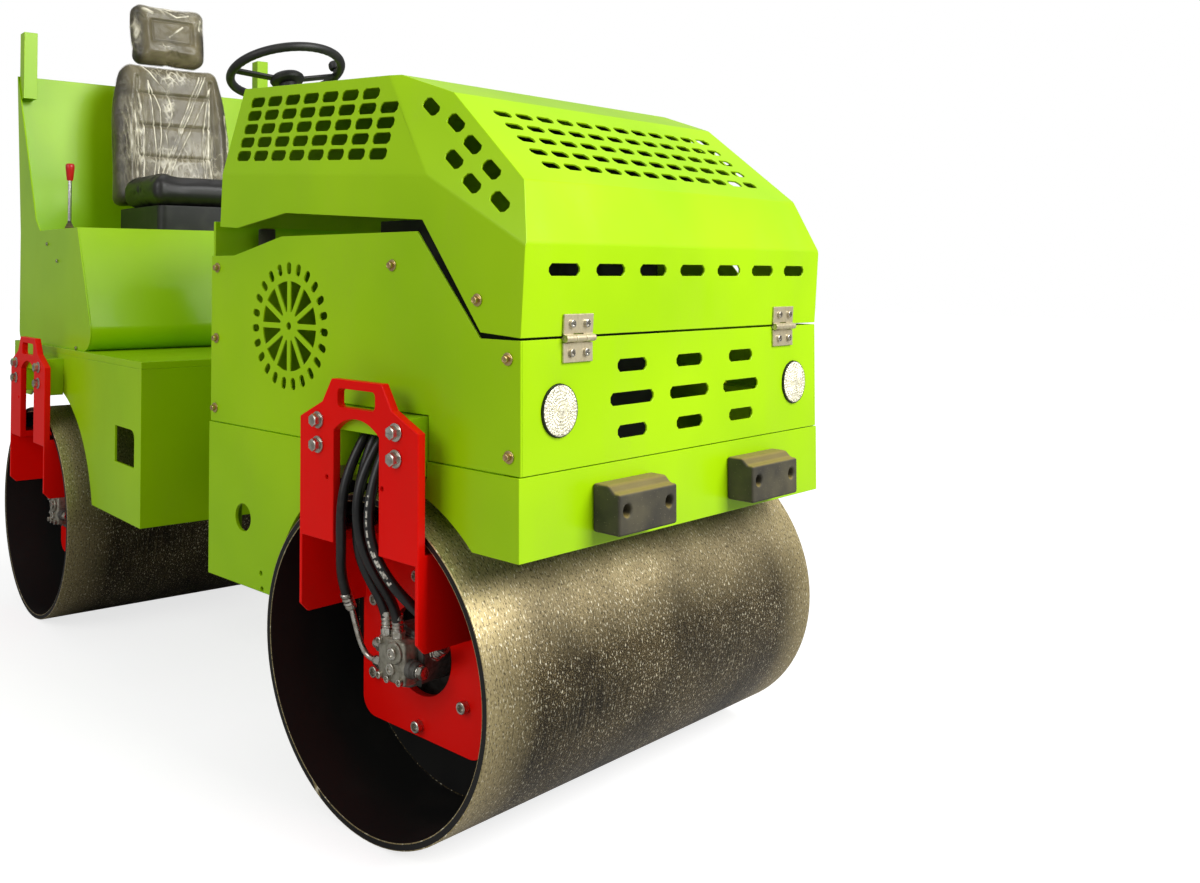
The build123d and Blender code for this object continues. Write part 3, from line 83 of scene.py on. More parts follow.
# Camera: at the machine's front right corner, at chest height and looking nearly level. The picture was cropped off
# centre, so the lens is shifted to put the machine at the left of the frame.
CAMERA_AT = (1.774, -2.065, 1.160)
CAMERA_YAW = 137.977
CAMERA_PITCH = 1.505
CAMERA_ROLL = 0.174
FOCAL_PIXELS = 1113.7
PICTURE = (1200, 883)
PRINCIPAL_POINT = (408.8, 243.3)
SENSOR_WIDTH = 36
bpy.ops.object.camera_add()
camera = bpy.context.object
camera.name = "photo_camera"
camera.data.sensor_width = SENSOR_WIDTH
camera.data.lens = FOCAL_PIXELS / PICTURE[0] * SENSOR_WIDTH
camera.data.shift_x = (PICTURE[0] / 2 - PRINCIPAL_POINT[0]) / PICTURE[0]
camera.data.shift_y = (PRINCIPAL_POINT[1] - PICTURE[1] / 2) / PICTURE[0]
camera.location = front_place @ Vector(CAMERA_AT)
look = Matrix.Rotation(radians(CAMERA_YAW - 90), 4, "Z") @ Matrix.Rotation(radians(90 + CAMERA_PITCH), 4, "X")
camera.rotation_euler = (look @ Matrix.Rotation(radians(CAMERA_ROLL), 4, "Z")).to_euler()
bpy.context.scene.camera = camera
bpy.context.scene.view_settings.view_transform = "Standard"

# Studio: a pale floor that takes a soft shadow, a white surround, and three large soft lamps. The strongest stands
# before the nose, so that the front is bright and the long side is a shade darker.
WHITE = (1, 1, 1, 1)
FLOOR_SIZE = 60
FLOOR_Z = -0.0005
FLOOR_GREY = (0.42, 0.42, 0.42, 1)
FLOOR_ROUGHNESS = 0.9
FLOOR_FADE = (1.6, 4.2)
FLOOR_GLOW = (0.74, 1.0)
SURROUND_LIGHT = 0.34
LAMPS = (
    ("nose_lamp", (4.6, 0.9, 3.6), (0.2, 0.0, 0.9), 3.2, 300),
    ("side_lamp", (0.4, -5.2, 3.4), (-0.6, 0.0, 0.8), 3.4, 104),
    ("top_lamp", (-1.2, 0.6, 5.2), (-0.8, 0.0, 1.0), 3.0, 26),
)


def aim_lamp(name, place, target, width, power):
    """A square soft lamp at a place, turned to a target."""
    bpy.ops.object.light_add(type="AREA", location=place)
    lamp = bpy.context.object
    lamp.name = name
    lamp.data.size = width
    lamp.data.energy = power
    lamp.rotation_euler = (Vector(target) - Vector(place)).to_track_quat("-Z", "Y").to_euler()


for lamp_values in LAMPS:
    aim_lamp(*lamp_values)


def add_math(tree, operation, *values):
    """A sum on values, which may be sockets or plain numbers."""
    node = tree.nodes.new("ShaderNodeMath")
    node.operation = operation
    for value, socket in zip(values, node.inputs):
        if isinstance(value, bpy.types.NodeSocket):
            tree.links.new(value, socket)
        else:
            socket.default_value = value
    return node.outputs[0]


def add_range(tree, source, low, high, to_low=0.0, to_high=1.0):
    """A value moved from one range to another and held inside it."""
    node = tree.nodes.new("ShaderNodeMapRange")
    node.inputs["From Min"].default_value = low
    node.inputs["From Max"].default_value = high
    node.inputs["To Min"].default_value = to_low
    node.inputs["To Max"].default_value = to_high
    tree.links.new(source, node.inputs["Value"])
    return node.outputs["Result"]


def plain_finish(name, colour, roughness, metallic=0.0):
    """A material with its shader set, and the shader."""
    material = bpy.data.materials.new(name)
    material.use_nodes = True
    shader = material.node_tree.nodes["Principled BSDF"]
    shader.inputs["Base Color"].default_value = colour
    shader.inputs["Roughness"].default_value = roughness
    shader.inputs["Metallic"].default_value = metallic
    return material, shader


def seen_directly(tree):
    """One for rays from the eye, also through glass or film, and nought for the light itself."""
    path = tree.nodes.new("ShaderNodeLightPath")
    return add_math(tree, "MAXIMUM", path.outputs["Is Camera Ray"], path.outputs["Is Transmission Ray"])


surround = bpy.data.worlds.new("white_surround")
surround.use_nodes = True
bpy.context.scene.world = surround
surround_tree = surround.node_tree
backdrop = surround_tree.nodes["Background"]
backdrop.inputs["Color"].default_value = WHITE
surround_light = add_range(surround_tree, seen_directly(surround_tree), 0, 1, SURROUND_LIGHT, 1)
surround_tree.links.new(surround_light, backdrop.inputs["Strength"])

bpy.ops.object.select_all(action="DESELECT")
bpy.ops.mesh.primitive_plane_add(size=FLOOR_SIZE, location=(0, 0, FLOOR_Z))
floor = bpy.context.object
floor.name = "floor"
floor_finish, floor_shader = plain_finish("pale_floor", FLOOR_GREY, FLOOR_ROUGHNESS)
floor_tree = floor_finish.node_tree
floor_shader.inputs["Emission Color"].default_value = WHITE
floor_place = floor_tree.nodes.new("ShaderNodeTexCoord")
floor_reach = floor_tree.nodes.new("ShaderNodeVectorMath")
floor_reach.operation = "LENGTH"
floor_tree.links.new(floor_place.outputs["Object"], floor_reach.inputs[0])
floor_fade = add_range(floor_tree, floor_reach.outputs["Value"], *FLOOR_FADE, *FLOOR_GLOW)
floor_glow = add_math(floor_tree, "MULTIPLY", floor_fade, seen_directly(floor_tree))
floor_tree.links.new(floor_glow, floor_shader.inputs["Emission Strength"])
floor.data.materials.append(floor_finish)

# Lime bodywork: folded mild steel sheet, sprayed with a thick gloss enamel that dries to a slight orange peel and
# gathers a little dust. Each sheet is the frame's own piece with its folds and cut edges eased as a press leaves
# them.
LIME = (0.395, 0.69, 0.001, 1)
LIME_SHADE = (0.30, 0.57, 0.001, 1)
LIME_DUST = (0.36, 0.46, 0.05, 1)
DUST_DULLS = 0.5
COAT_ROUGHNESS = 0.08
PEEL_STRENGTH = 0.12
PEEL_DEPTH = 0.0004
WELD = 0.00002
FLAT_ANGLE = radians(0.2)
EASE_ANGLE = radians(32)
FOLD_LEAST = radians(8)
FOLD_MOST = radians(62)
FOLD_LENGTH = 0.05
SHEET_EASE = 0.0012
SHEETS = (
    "front_frame", "bulkhead", "side_panel_right", "side_panel_left", "front_panel", "front_brackets",
    "rear_brackets", "rear_frame", "deck", "seat_box", "wing_right", "wing_left", "rear_wall", "post_stubs",
)


def new_group(name, inputs, outputs):
    """A shader node group with named sockets, and its two ends."""
    group = bpy.data.node_groups.new(name, "ShaderNodeTree")
    for socket_name, kind in inputs:
        group.interface.new_socket(socket_name, in_out="INPUT", socket_type=kind)
    for socket_name, kind in outputs:
        group.interface.new_socket(socket_name, in_out="OUTPUT", socket_type=kind)
    return group, group.nodes.new("NodeGroupInput"), group.nodes.new("NodeGroupOutput")


def add_noise(tree, scale, detail=4.0, stretch=(1, 1, 1), source="Object"):
    """A noise on the piece's own coordinates or its own map, stretched along the axes."""
    place = tree.nodes.new("ShaderNodeTexCoord")
    mapping = tree.nodes.new("ShaderNodeMapping")
    mapping.inputs["Scale"].default_value = stretch
    tree.links.new(place.outputs[source], mapping.inputs["Vector"])
    grain = tree.nodes.new("ShaderNodeTexNoise")
    grain.inputs["Scale"].default_value = scale
    grain.inputs["Detail"].default_value = detail
    tree.links.new(mapping.outputs["Vector"], grain.inputs["Vector"])
    return grain.outputs["Fac"]


def add_mix(tree, factor, first, second):
    """A colour mixed from two, which may be sockets or plain colours, by a mask."""
    node = tree.nodes.new("ShaderNodeMix")
    node.data_type = "RGBA"
    tree.links.new(factor, node.inputs["Factor"])
    for value, socket in ((first, node.inputs["A"]), (second, node.inputs["B"])):
        if isinstance(value, bpy.types.NodeSocket):
            tree.links.new(value, socket)
        else:
            socket.default_value = value
    return node.outputs["Result"]


def add_product(tree, first, second):
    """Two values multiplied."""
    return add_math(tree, "MULTIPLY", first, second)


def add_group(tree, group, values):
    """A node group in a material, with its values by the sockets' names."""
    node = tree.nodes.new("ShaderNodeGroup")
    node.node_tree = group
    for socket_name, value in values.items():
        node.inputs[socket_name].default_value = value
    return node


sprayed_enamel, enamel_in, enamel_out = new_group(
    "sprayed_enamel",
    (("Colour", "NodeSocketColor"), ("Shade", "NodeSocketColor"), ("Dust", "NodeSocketColor"),
     ("Dust Amount", "NodeSocketFloat"), ("Gloss Roughness", "NodeSocketFloat")),
    (("Color", "NodeSocketColor"), ("Roughness", "NodeSocketFloat"), ("Height", "NodeSocketFloat")),
)
clouds = add_noise(sprayed_enamel, 1.7, 3.0)
smears = add_noise(sprayed_enamel, 9.0, 6.0, (1, 1, 0.35))
flecks = add_noise(sprayed_enamel, 160.0, 2.0)
peel = add_noise(sprayed_enamel, 420.0, 2.0)
cloud_mask = add_range(sprayed_enamel, clouds, 0.35, 0.7)
shaded = add_mix(sprayed_enamel, cloud_mask, enamel_in.outputs["Colour"], enamel_in.outputs["Shade"])
smear_mask = add_range(sprayed_enamel, smears, 0.48, 0.78)
fleck_mask = add_range(sprayed_enamel, flecks, 0.45, 0.7, 0.35, 1.0)
flecked_smears = add_product(sprayed_enamel, smear_mask, fleck_mask)
dust_mask = add_product(sprayed_enamel, flecked_smears, enamel_in.outputs["Dust Amount"])
dusty = add_mix(sprayed_enamel, dust_mask, shaded, enamel_in.outputs["Dust"])
dulled = add_math(sprayed_enamel, "MULTIPLY_ADD", dust_mask, DUST_DULLS, enamel_in.outputs["Gloss Roughness"])
sprayed_enamel.links.new(dusty, enamel_out.inputs["Color"])
sprayed_enamel.links.new(dulled, enamel_out.inputs["Roughness"])
sprayed_enamel.links.new(peel, enamel_out.inputs["Height"])


def bumped(material, height, strength, distance):
    """Lets a height feed the shader's normal."""
    tree = material.node_tree
    bump = tree.nodes.new("ShaderNodeBump")
    bump.inputs["Strength"].default_value = strength
    bump.inputs["Distance"].default_value = distance
    tree.links.new(height, bump.inputs["Height"])
    tree.links.new(bump.outputs["Normal"], tree.nodes["Principled BSDF"].inputs["Normal"])


def enamel(name, colour, shade, dust, dust_amount, roughness, coat, shine=0.3):
    """A sprayed enamel finish."""
    material = bpy.data.materials.new(name)
    material.use_nodes = True
    tree = material.node_tree
    film = add_group(tree, sprayed_enamel, {
        "Colour": colour, "Shade": shade, "Dust": dust, "Dust Amount": dust_amount, "Gloss Roughness": roughness,
    })
    shader = tree.nodes["Principled BSDF"]
    tree.links.new(film.outputs["Color"], shader.inputs["Base Color"])
    tree.links.new(film.outputs["Roughness"], shader.inputs["Roughness"])
    shader.inputs["Specular IOR Level"].default_value = shine
    shader.inputs["Coat Weight"].default_value = coat
    shader.inputs["Coat Roughness"].default_value = COAT_ROUGHNESS
    bumped(material, film.outputs["Height"], PEEL_STRENGTH, PEEL_DEPTH)
    return material


def alone(piece):
    """Selects one piece and makes it the active one."""
    bpy.ops.object.select_all(action="DESELECT")
    piece.select_set(True)
    bpy.context.view_layer.objects.active = piece


def add_piece(name, data):
    """A new piece in the scene."""
    piece = bpy.data.objects.new(name, data)
    bpy.context.scene.collection.objects.link(piece)
    return piece


def worked(piece, kind, **settings):
    """Gives the active piece a modifier with its settings, and applies it."""
    modifier = piece.modifiers.new(kind.lower(), kind)
    for setting, value in settings.items():
        setattr(modifier, setting, value)
    bpy.ops.object.modifier_apply(modifier=modifier.name)


def eased(node, radius, finish, segments=2, fold_radius=0.0):
    """A copy of one of the frame's pieces with its sharp edges eased and its long folds rounded."""
    source = frame["nodes"][node]
    piece = add_piece(node + "_finished", source.data.copy())
    piece.data.materials.clear()
    piece.data.materials.append(finish)
    alone(piece)
    bpy.ops.object.mode_set(mode="EDIT")
    bpy.ops.mesh.select_all(action="SELECT")
    bpy.ops.mesh.remove_doubles(threshold=WELD)
    bpy.ops.mesh.dissolve_limited(angle_limit=FLAT_ANGLE)
    widest = max(radius, fold_radius)
    mesh = bmesh.from_edit_mesh(piece.data)
    weight = mesh.edges.layers.float.new("bevel_weight_edge")
    for edge in mesh.edges:
        turn = edge.calc_face_angle(0)
        if fold_radius and FOLD_LEAST < turn < FOLD_MOST and edge.calc_length() > FOLD_LENGTH:
            edge[weight] = fold_radius / widest
        elif turn > EASE_ANGLE:
            edge[weight] = radius / widest
    bmesh.update_edit_mesh(piece.data)
    bpy.ops.object.mode_set(mode="OBJECT")
    worked(
        piece, "BEVEL", width=widest, segments=segments, limit_method="WEIGHT", loop_slide=False,
        use_clamp_overlap=False,
    )
    bpy.ops.object.shade_smooth_by_angle(angle=EASE_ANGLE)
    worked(piece, "WEIGHTED_NORMAL", keep_sharp=True)
    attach(piece, source["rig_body"])
    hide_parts(node)
    return piece


lime_enamel = enamel("lime_enamel", LIME, LIME_SHADE, LIME_DUST, 0.2, 0.3, 0.05, 0.22)
for sheet_node in SHEETS:
    eased(sheet_node, SHEET_EASE, lime_enamel)

# Hood: one shell folded from sheet, with slots punched along its nose and sides before folding. Its folds are as
# round as the press brake's tool, and its cut edges are only broken.
FOLD_RADIUS = 0.004
eased("hood", SHEET_EASE, lime_enamel, 3, FOLD_RADIUS)

# Drum forks: thick plate cut to a stepped outline, welded up and sprayed signal red. Their cut edges are eased a
# little more than those of the sheets.
RED = (0.96, 0.004, 0.001, 1)
RED_SHADE = (0.80, 0.003, 0.001, 1)
RED_DUST = (0.46, 0.05, 0.02, 1)
FORK_EASE = 0.0022
red_enamel = enamel("red_enamel", RED, RED_SHADE, RED_DUST, 0.15, 0.36, 0.03, 0.12)
for fork_node in ("front_fork_right", "front_fork_left", "rear_fork_right", "rear_fork_left"):
    eased(fork_node, FORK_EASE, red_enamel)

# Drums: a shell rolled from thick plate and left bare, brown with mill scale, and bright where grit has scratched it
# and along its edges. A painted highlight lies in pale patches on the upper front of its round. The inside of the
# shell and of its ends is coloured near black.
DRUM_DARK = (0.009, 0.006, 0.0025, 1)
DRUM_PALE = (0.070, 0.050, 0.020, 1)
DRUM_LIGHT_BAND = (0.66, 0.54, 0.29, 1)
DRUM_WORN = (0.66, 0.54, 0.27, 1)
DRUM_LINE = (0.17, 0.125, 0.05, 1)
DRUM_GRIT = (0.012, 0.008, 0.003, 1)
DRUM_SPECK = (0.58, 0.46, 0.24, 1)
DRUM_BRIGHT = (1.0, 0.93, 0.70, 1)
END_BLACK = (0.006, 0.006, 0.006, 1)
END_SHADE = (0.010, 0.010, 0.009, 1)
END_DUST = (0.03, 0.025, 0.018, 1)
DRUM_EASE = 0.0025
RIM = 0.018
DRUM_R = 0.350
DRUM_HALF = 0.585
WORN_FROM = 0.150
WORN_TO = 0.004
LIGHT_BAND_TURN = radians(58)
drum_steel, drum_shader = plain_finish("rolled_drum_steel", DRUM_DARK, 0.4, 0.75)
drum_tree = drum_steel.node_tree
scale_patches = add_noise(drum_tree, 4.5, 7.0, (1, 1, 1), "UV")
brush_lines = add_noise(drum_tree, 5.0, 7.0, (1.2, 60, 1), "UV")
fine_grit = add_noise(drum_tree, 260.0, 3.0, (0.55, 1, 1), "UV")
coarse_specks = add_noise(drum_tree, 230.0, 3.0, (0.5, 1, 1), "UV")
fine_specks = add_noise(drum_tree, 520.0, 2.0, (0.6, 1, 1), "UV")
bare = add_mix(drum_tree, add_range(drum_tree, scale_patches, 0.34, 0.68), DRUM_DARK, DRUM_PALE)
drum_place = drum_tree.nodes.new("ShaderNodeTexCoord")
drum_split = drum_tree.nodes.new("ShaderNodeSeparateXYZ")
drum_tree.links.new(drum_place.outputs["UV"], drum_split.inputs[0])
# Painted highlight: the shell is paler in patches on the upper front of its round, centred the given turn above the
# front.
round_turn = add_math(drum_tree, "MULTIPLY_ADD", drum_split.outputs["X"], 1 / DRUM_R, -LIGHT_BAND_TURN)
light_band_mask = add_range(drum_tree, add_math(drum_tree, "COSINE", round_turn), 0.62, 1.0, 0.0, 0.95)
light_band_patches = add_range(drum_tree, scale_patches, 0.3, 0.6, 0.45, 1.0)
light_banded = add_mix(drum_tree, add_product(drum_tree, light_band_mask, light_band_patches), bare, DRUM_LIGHT_BAND)
off_middle = add_math(drum_tree, "ABSOLUTE", drum_split.outputs["Y"])
edge_wear = add_range(drum_tree, off_middle, DRUM_HALF - WORN_FROM, DRUM_HALF - WORN_TO, 0.0, 0.85)
edge_brush = add_range(drum_tree, brush_lines, 0.3, 0.65, 0.55, 1.0)
worn = add_mix(drum_tree, add_product(drum_tree, edge_wear, edge_brush), light_banded, DRUM_WORN)
line_mask = add_product(drum_tree, add_range(drum_tree, brush_lines, 0.5, 0.74), 0.6)
lined = add_mix(drum_tree, line_mask, worn, DRUM_LINE)
gritty = add_mix(drum_tree, add_range(drum_tree, fine_grit, 0.50, 0.68, 0.0, 0.8), lined, DRUM_GRIT)
speck_patches = add_range(drum_tree, scale_patches, 0.36, 0.6, 0.35, 1.0)
fine_mask = add_product(drum_tree, add_range(drum_tree, fine_specks, 0.585, 0.64), speck_patches)
coarse_mask = add_product(drum_tree, add_range(drum_tree, coarse_specks, 0.605, 0.66), speck_patches)
fine_specked = add_mix(drum_tree, fine_mask, gritty, DRUM_SPECK)
specked = add_mix(drum_tree, coarse_mask, fine_specked, DRUM_BRIGHT)
brushed = add_range(drum_tree, brush_lines, 0.3, 0.7, 0.56, 0.34)
drum_tree.links.new(specked, drum_shader.inputs["Base Color"])
drum_tree.links.new(brushed, drum_shader.inputs["Roughness"])
bumped(drum_steel, fine_grit, 0.3, 0.0012)
drum_black = enamel("drum_end_black", END_BLACK, END_SHADE, END_DUST, 0.4, 0.5, 0.0)
for drum_node, hub in (("front_drum", joint["front_drum_spin"]), ("rear_drum", joint["rear_drum_spin"])):
    drum = eased(drum_node, DRUM_EASE, drum_steel)
    drum.data.materials.append(drum_black)
    shell_map = drum.data.uv_layers.new(name="round_and_along")
    middle = sum((vertex.co for vertex in drum.data.vertices), Vector()) / len(drum.data.vertices)
    axle = Vector(hub["axis"])
    fore = axle.cross(Vector((0, 0, 1)))
    for face in drum.data.polygons:
        at = face.center - middle
        across = at.cross(axle).length
        on_shell = across > DRUM_R - RIM
        if across < DRUM_R - RIM / 2 and abs(face.normal.dot(axle)) < 0.5:
            on_shell = False
        face.material_index = 0 if on_shell else 1
        turn = atan2(at.z, at.dot(fore))
        for corner in face.loop_indices:
            spot = drum.data.vertices[drum.data.loops[corner].vertex_index].co - middle
            ahead = (atan2(spot.z, spot.dot(fore)) - turn + pi) % (2 * pi) - pi
            shell_map.data[corner].uv = ((turn + ahead) * DRUM_R, spot.dot(axle))

# Black iron work under the body: pivot frame, knuckle, engine and cylinder barrel. They are rough plate and casting,
# sprayed black.
BLACK = (0.014, 0.014, 0.014, 1)
BLACK_SHADE = (0.022, 0.021, 0.019, 1)
BLACK_DUST = (0.10, 0.085, 0.06, 1)
IRON_EASE = 0.002
black_enamel = enamel("black_enamel", BLACK, BLACK_SHADE, BLACK_DUST, 0.5, 0.42, 0.1)
for iron_node in ("pivot_frame", "knuckle", "engine", "steering_barrel"):
    eased(iron_node, IRON_EASE, black_enamel)

# Painted shade: a thin flat black sheet inside the hood, behind its left-hand side grille, so that the grille's
# holes look as dark as a shaded engine bay behind them.
SHADE_SHEET_OUTLINE = ((-0.604, 1.372), (0.030, 1.372), (-0.030, 1.490), (-0.075, 1.540), (-0.604, 1.540))
SHADE_SHEET_THICK = 0.0015
SHADE_SHEET_DEEP = 0.0052
HOOD_SIDE_LOW = (0.541, 1.338)
HOOD_SIDE_HIGH = (0.485, 1.558)
side_rise = HOOD_SIDE_HIGH[1] - HOOD_SIDE_LOW[1]
side_lean = HOOD_SIDE_LOW[0] - HOOD_SIDE_HIGH[0]
side_out = Vector((0, side_rise, side_lean)).normalized()
shade_sheet_corners = [
    Vector((x, HOOD_SIDE_LOW[0] - side_lean * (z - HOOD_SIDE_LOW[1]) / side_rise, z)) - side_out * SHADE_SHEET_DEEP
    for x, z in SHADE_SHEET_OUTLINE
]
# This black sheet is painted shade, set where the bay behind the grille would lie in shade.
shade_sheet_mesh = bpy.data.meshes.new("hood_shade_sheet")
shade_sheet_mesh.from_pydata(
    [hood_place @ corner for corner in shade_sheet_corners], [], [range(len(shade_sheet_corners))]
)
shade_sheet_side = -1 if shade_sheet_mesh.polygons[0].normal.y > 0 else 1
shade_sheet = add_piece("hood_shade_sheet", shade_sheet_mesh)
shade_sheet.data.materials.append(black_enamel)
alone(shade_sheet)
worked(shade_sheet, "SOLIDIFY", thickness=SHADE_SHEET_THICK, offset=shade_sheet_side)
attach(shade_sheet, "hood")

# Bright steel and zinc: the pins, the rod and the fasteners. Fasteners are plated, either clear zinc, which is a
# blue-white steel, or yellow passivated zinc, which is brassy with a faint rainbow stain.
CLEAR_ZINC = (0.62, 0.60, 0.54, 1)
CLEAR_STAIN = (0.25, 0.20, 0.13, 1)
YELLOW_ZINC = (0.66, 0.50, 0.22, 1)
YELLOW_STAIN = (0.42, 0.26, 0.16, 1)
STAIN_DULLS = 0.3
PIN_EASE = 0.0015
plated_metal, plated_in, plated_out = new_group(
    "plated_metal",
    (("Colour", "NodeSocketColor"), ("Stain", "NodeSocketColor"), ("Stain Amount", "NodeSocketFloat"),
     ("Polish", "NodeSocketFloat")),
    (("Color", "NodeSocketColor"), ("Roughness", "NodeSocketFloat"), ("Height", "NodeSocketFloat")),
)
stains = add_noise(plated_metal, 70.0, 5.0)
tool_marks = add_noise(plated_metal, 600.0, 3.0)
stain_cover = add_range(plated_metal, stains, 0.42, 0.68)
stain_mask = add_product(plated_metal, stain_cover, plated_in.outputs["Stain Amount"])
stained = add_mix(plated_metal, stain_mask, plated_in.outputs["Colour"], plated_in.outputs["Stain"])
rougher = add_math(plated_metal, "MULTIPLY_ADD", stain_mask, STAIN_DULLS, plated_in.outputs["Polish"])
plated_metal.links.new(stained, plated_out.inputs["Color"])
plated_metal.links.new(rougher, plated_out.inputs["Roughness"])
plated_metal.links.new(tool_marks, plated_out.inputs["Height"])


def plated(name, colour, stain, stain_amount, polish, metallic=1.0):
    """A plated or bare metal finish."""
    material, shader = plain_finish(name, colour, polish, metallic)
    tree = material.node_tree
    skin = add_group(tree, plated_metal, {
        "Colour": colour, "Stain": stain, "Stain Amount": stain_amount, "Polish": polish,
    })
    tree.links.new(skin.outputs["Color"], shader.inputs["Base Color"])
    tree.links.new(skin.outputs["Roughness"], shader.inputs["Roughness"])
    bumped(material, skin.outputs["Height"], 0.15, 0.0003)
    return material


clear_zinc = plated("clear_zinc", CLEAR_ZINC, CLEAR_STAIN, 0.6, 0.25)
yellow_zinc = plated("yellow_zinc", YELLOW_ZINC, YELLOW_STAIN, 0.7, 0.25)
for bright_node in ("steering_pins", "steering_rod"):
    eased(bright_node, PIN_EASE, clear_zinc)

# Panel bolts: flange-headed bolts in yellow zinc, with a forged dish in the head. They hold the side panels and the
# hood's catch to the frame.
SIDES = ((-1, "right"), (1, "left"))
PANEL_BOLTS = ((-0.637, 1.171), (-0.640, 0.994), (-0.644, 0.819), (0.032, 1.175), (0.359, 1.000), (0.362, 0.819))
PANEL_FACE = 0.541
HOOD_BOLT = (0.275, 1.100)


def pick_top(piece, least=0.9):
    """Goes into edit mode with only the faces that look up selected."""
    bpy.ops.object.mode_set(mode="EDIT")
    bpy.ops.mesh.select_mode(type="FACE")
    bpy.ops.mesh.select_all(action="DESELECT")
    mesh = bmesh.from_edit_mesh(piece.data)
    for face in mesh.faces:
        face.select = face.normal.z > least
    bmesh.update_edit_mesh(piece.data)


def joined(parts):
    """Parts joined into the first of them."""
    bpy.ops.object.select_all(action="DESELECT")
    for part in parts:
        part.select_set(True)
    bpy.context.view_layer.objects.active = parts[0]
    if len(parts) > 1:
        bpy.ops.object.join()
    return parts[0]


def flange_bolt(finish, across, head, flange, flange_thick):
    """A hexagon flange bolt that stands on Z = 0, to be copied."""
    bpy.ops.object.select_all(action="DESELECT")
    bpy.ops.mesh.primitive_cylinder_add(
        vertices=6, radius=across / 2 / cos(pi / 6), depth=head, location=(0, 0, flange_thick + head / 2)
    )
    hexagon = bpy.context.object
    pick_top(hexagon)
    bpy.ops.mesh.inset(thickness=across * 0.1, depth=across * 0.06)
    bpy.ops.mesh.inset(thickness=across * 0.16, depth=-across * 0.05)
    bpy.ops.object.mode_set(mode="OBJECT")
    bpy.ops.object.transform_apply(location=True, rotation=True, scale=True)
    bpy.ops.mesh.primitive_cylinder_add(
        vertices=28, radius=flange, depth=flange_thick, location=(0, 0, flange_thick / 2)
    )
    washer = bpy.context.object
    worked(washer, "BEVEL", width=flange_thick * 0.4, segments=2)
    bpy.ops.object.transform_apply(location=True, rotation=True, scale=True)
    bolt = joined([hexagon, washer])
    bolt.data.materials.append(finish)
    bpy.ops.object.shade_smooth_by_angle(angle=EASE_ANGLE)
    return bolt


def facing(point, outward, place):
    """Where a model that stands on Z = 0 goes, to stand at a point of the straight machine and face outward."""
    return place @ Matrix.Translation(point) @ Vector(outward).to_track_quat("Z", "Y").to_matrix().to_4x4()


def copied(model, name, place):
    """A copy of a model with a mesh of its own, at a place."""
    copy = add_piece(name, model.data.copy())
    copy.data.transform(place)
    return copy


def set_out(model, places, name, body):
    """One piece joined from copies of a model, one at each place, which rides on a body."""
    piece = joined([copied(model, name, place) for place in places])
    piece.name = name
    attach(piece, body)
    return piece


panel_bolt = flange_bolt(yellow_zinc, 0.013, 0.008, 0.0125, 0.003)
for side, side_name in SIDES:
    panel_places = [facing((x, side * PANEL_FACE, z), (0, side, 0), front_place) for x, z in PANEL_BOLTS]
    set_out(panel_bolt, panel_places, f"panel_bolts_{side_name}", "front_frame")
    hood_spot = facing((HOOD_BOLT[0], side * PANEL_FACE, HOOD_BOLT[1]), (0, side, 0), hood_place)
    set_out(panel_bolt, [hood_spot], f"hood_bolt_{side_name}", "hood")
bpy.data.objects.remove(panel_bolt)

# Fork bolts: four large clear-zinc bolts on each fork, with flanges as wide as washers. They clamp the fork to its
# bracket.
FORK_BOLTS = ((-0.125, 0.846), (-0.125, 0.794), (0.125, 0.846), (0.125, 0.794))
FORK_FACE = 0.612
WHEELBASE = 1.815
AXLES = ((0, "front", "front_frame", front_place), (-WHEELBASE, "rear", "rear_frame", rear_place))
fork_bolt = flange_bolt(clear_zinc, 0.024, 0.013, 0.0185, 0.004)
for side, side_name in SIDES:
    for axle_x, axle_name, body, place in AXLES:
        spots = [facing((axle_x + x, side * FORK_FACE, z), (0, side, 0), place) for x, z in FORK_BOLTS]
        set_out(fork_bolt, spots, f"{axle_name}_fork_bolts_{side_name}", body)
bpy.data.objects.remove(fork_bolt)

# Hub screws: six socket-head screws in clear zinc through each hub plate into the rubber mounts, on a ring round the
# axle.
HUB_FACE = 0.430
AXLE_Z = 0.350
HUB_RING = 0.160
HUB_SCREWS = 6


def socket_screw(finish, head_radius, head):
    """A socket-head screw that stands on Z = 0, to be copied."""
    bpy.ops.object.select_all(action="DESELECT")
    bpy.ops.mesh.primitive_cylinder_add(
        vertices=24, radius=head_radius, depth=head, location=(0, 0, head / 2)
    )
    screw = bpy.context.object
    pick_top(screw)
    bpy.ops.mesh.inset(thickness=head_radius * 0.1, depth=head_radius * 0.08)
    bpy.ops.mesh.inset(thickness=head_radius * 0.28, depth=0)
    bpy.ops.mesh.inset(thickness=head_radius * 0.03, depth=-head * 0.6)
    bpy.ops.object.mode_set(mode="OBJECT")
    bpy.ops.object.transform_apply(location=True, rotation=True, scale=True)
    screw.data.materials.append(finish)
    bpy.ops.object.shade_smooth_by_angle(angle=EASE_ANGLE)
    return screw


hub_screw = socket_screw(clear_zinc, 0.0125, 0.016)
hub_turns = [2 * pi * (step + 0.5) / HUB_SCREWS for step in range(HUB_SCREWS)]
for side, side_name in SIDES:
    for axle_x, axle_name, body, place in AXLES:
        spots = [
            facing((axle_x + HUB_RING * cos(a), side * HUB_FACE, AXLE_Z + HUB_RING * sin(a)), (0, side, 0), place)
            for a in hub_turns
        ]
        set_out(hub_screw, spots, f"{axle_name}_hub_screws_{side_name}", body)
bpy.data.objects.remove(hub_screw)
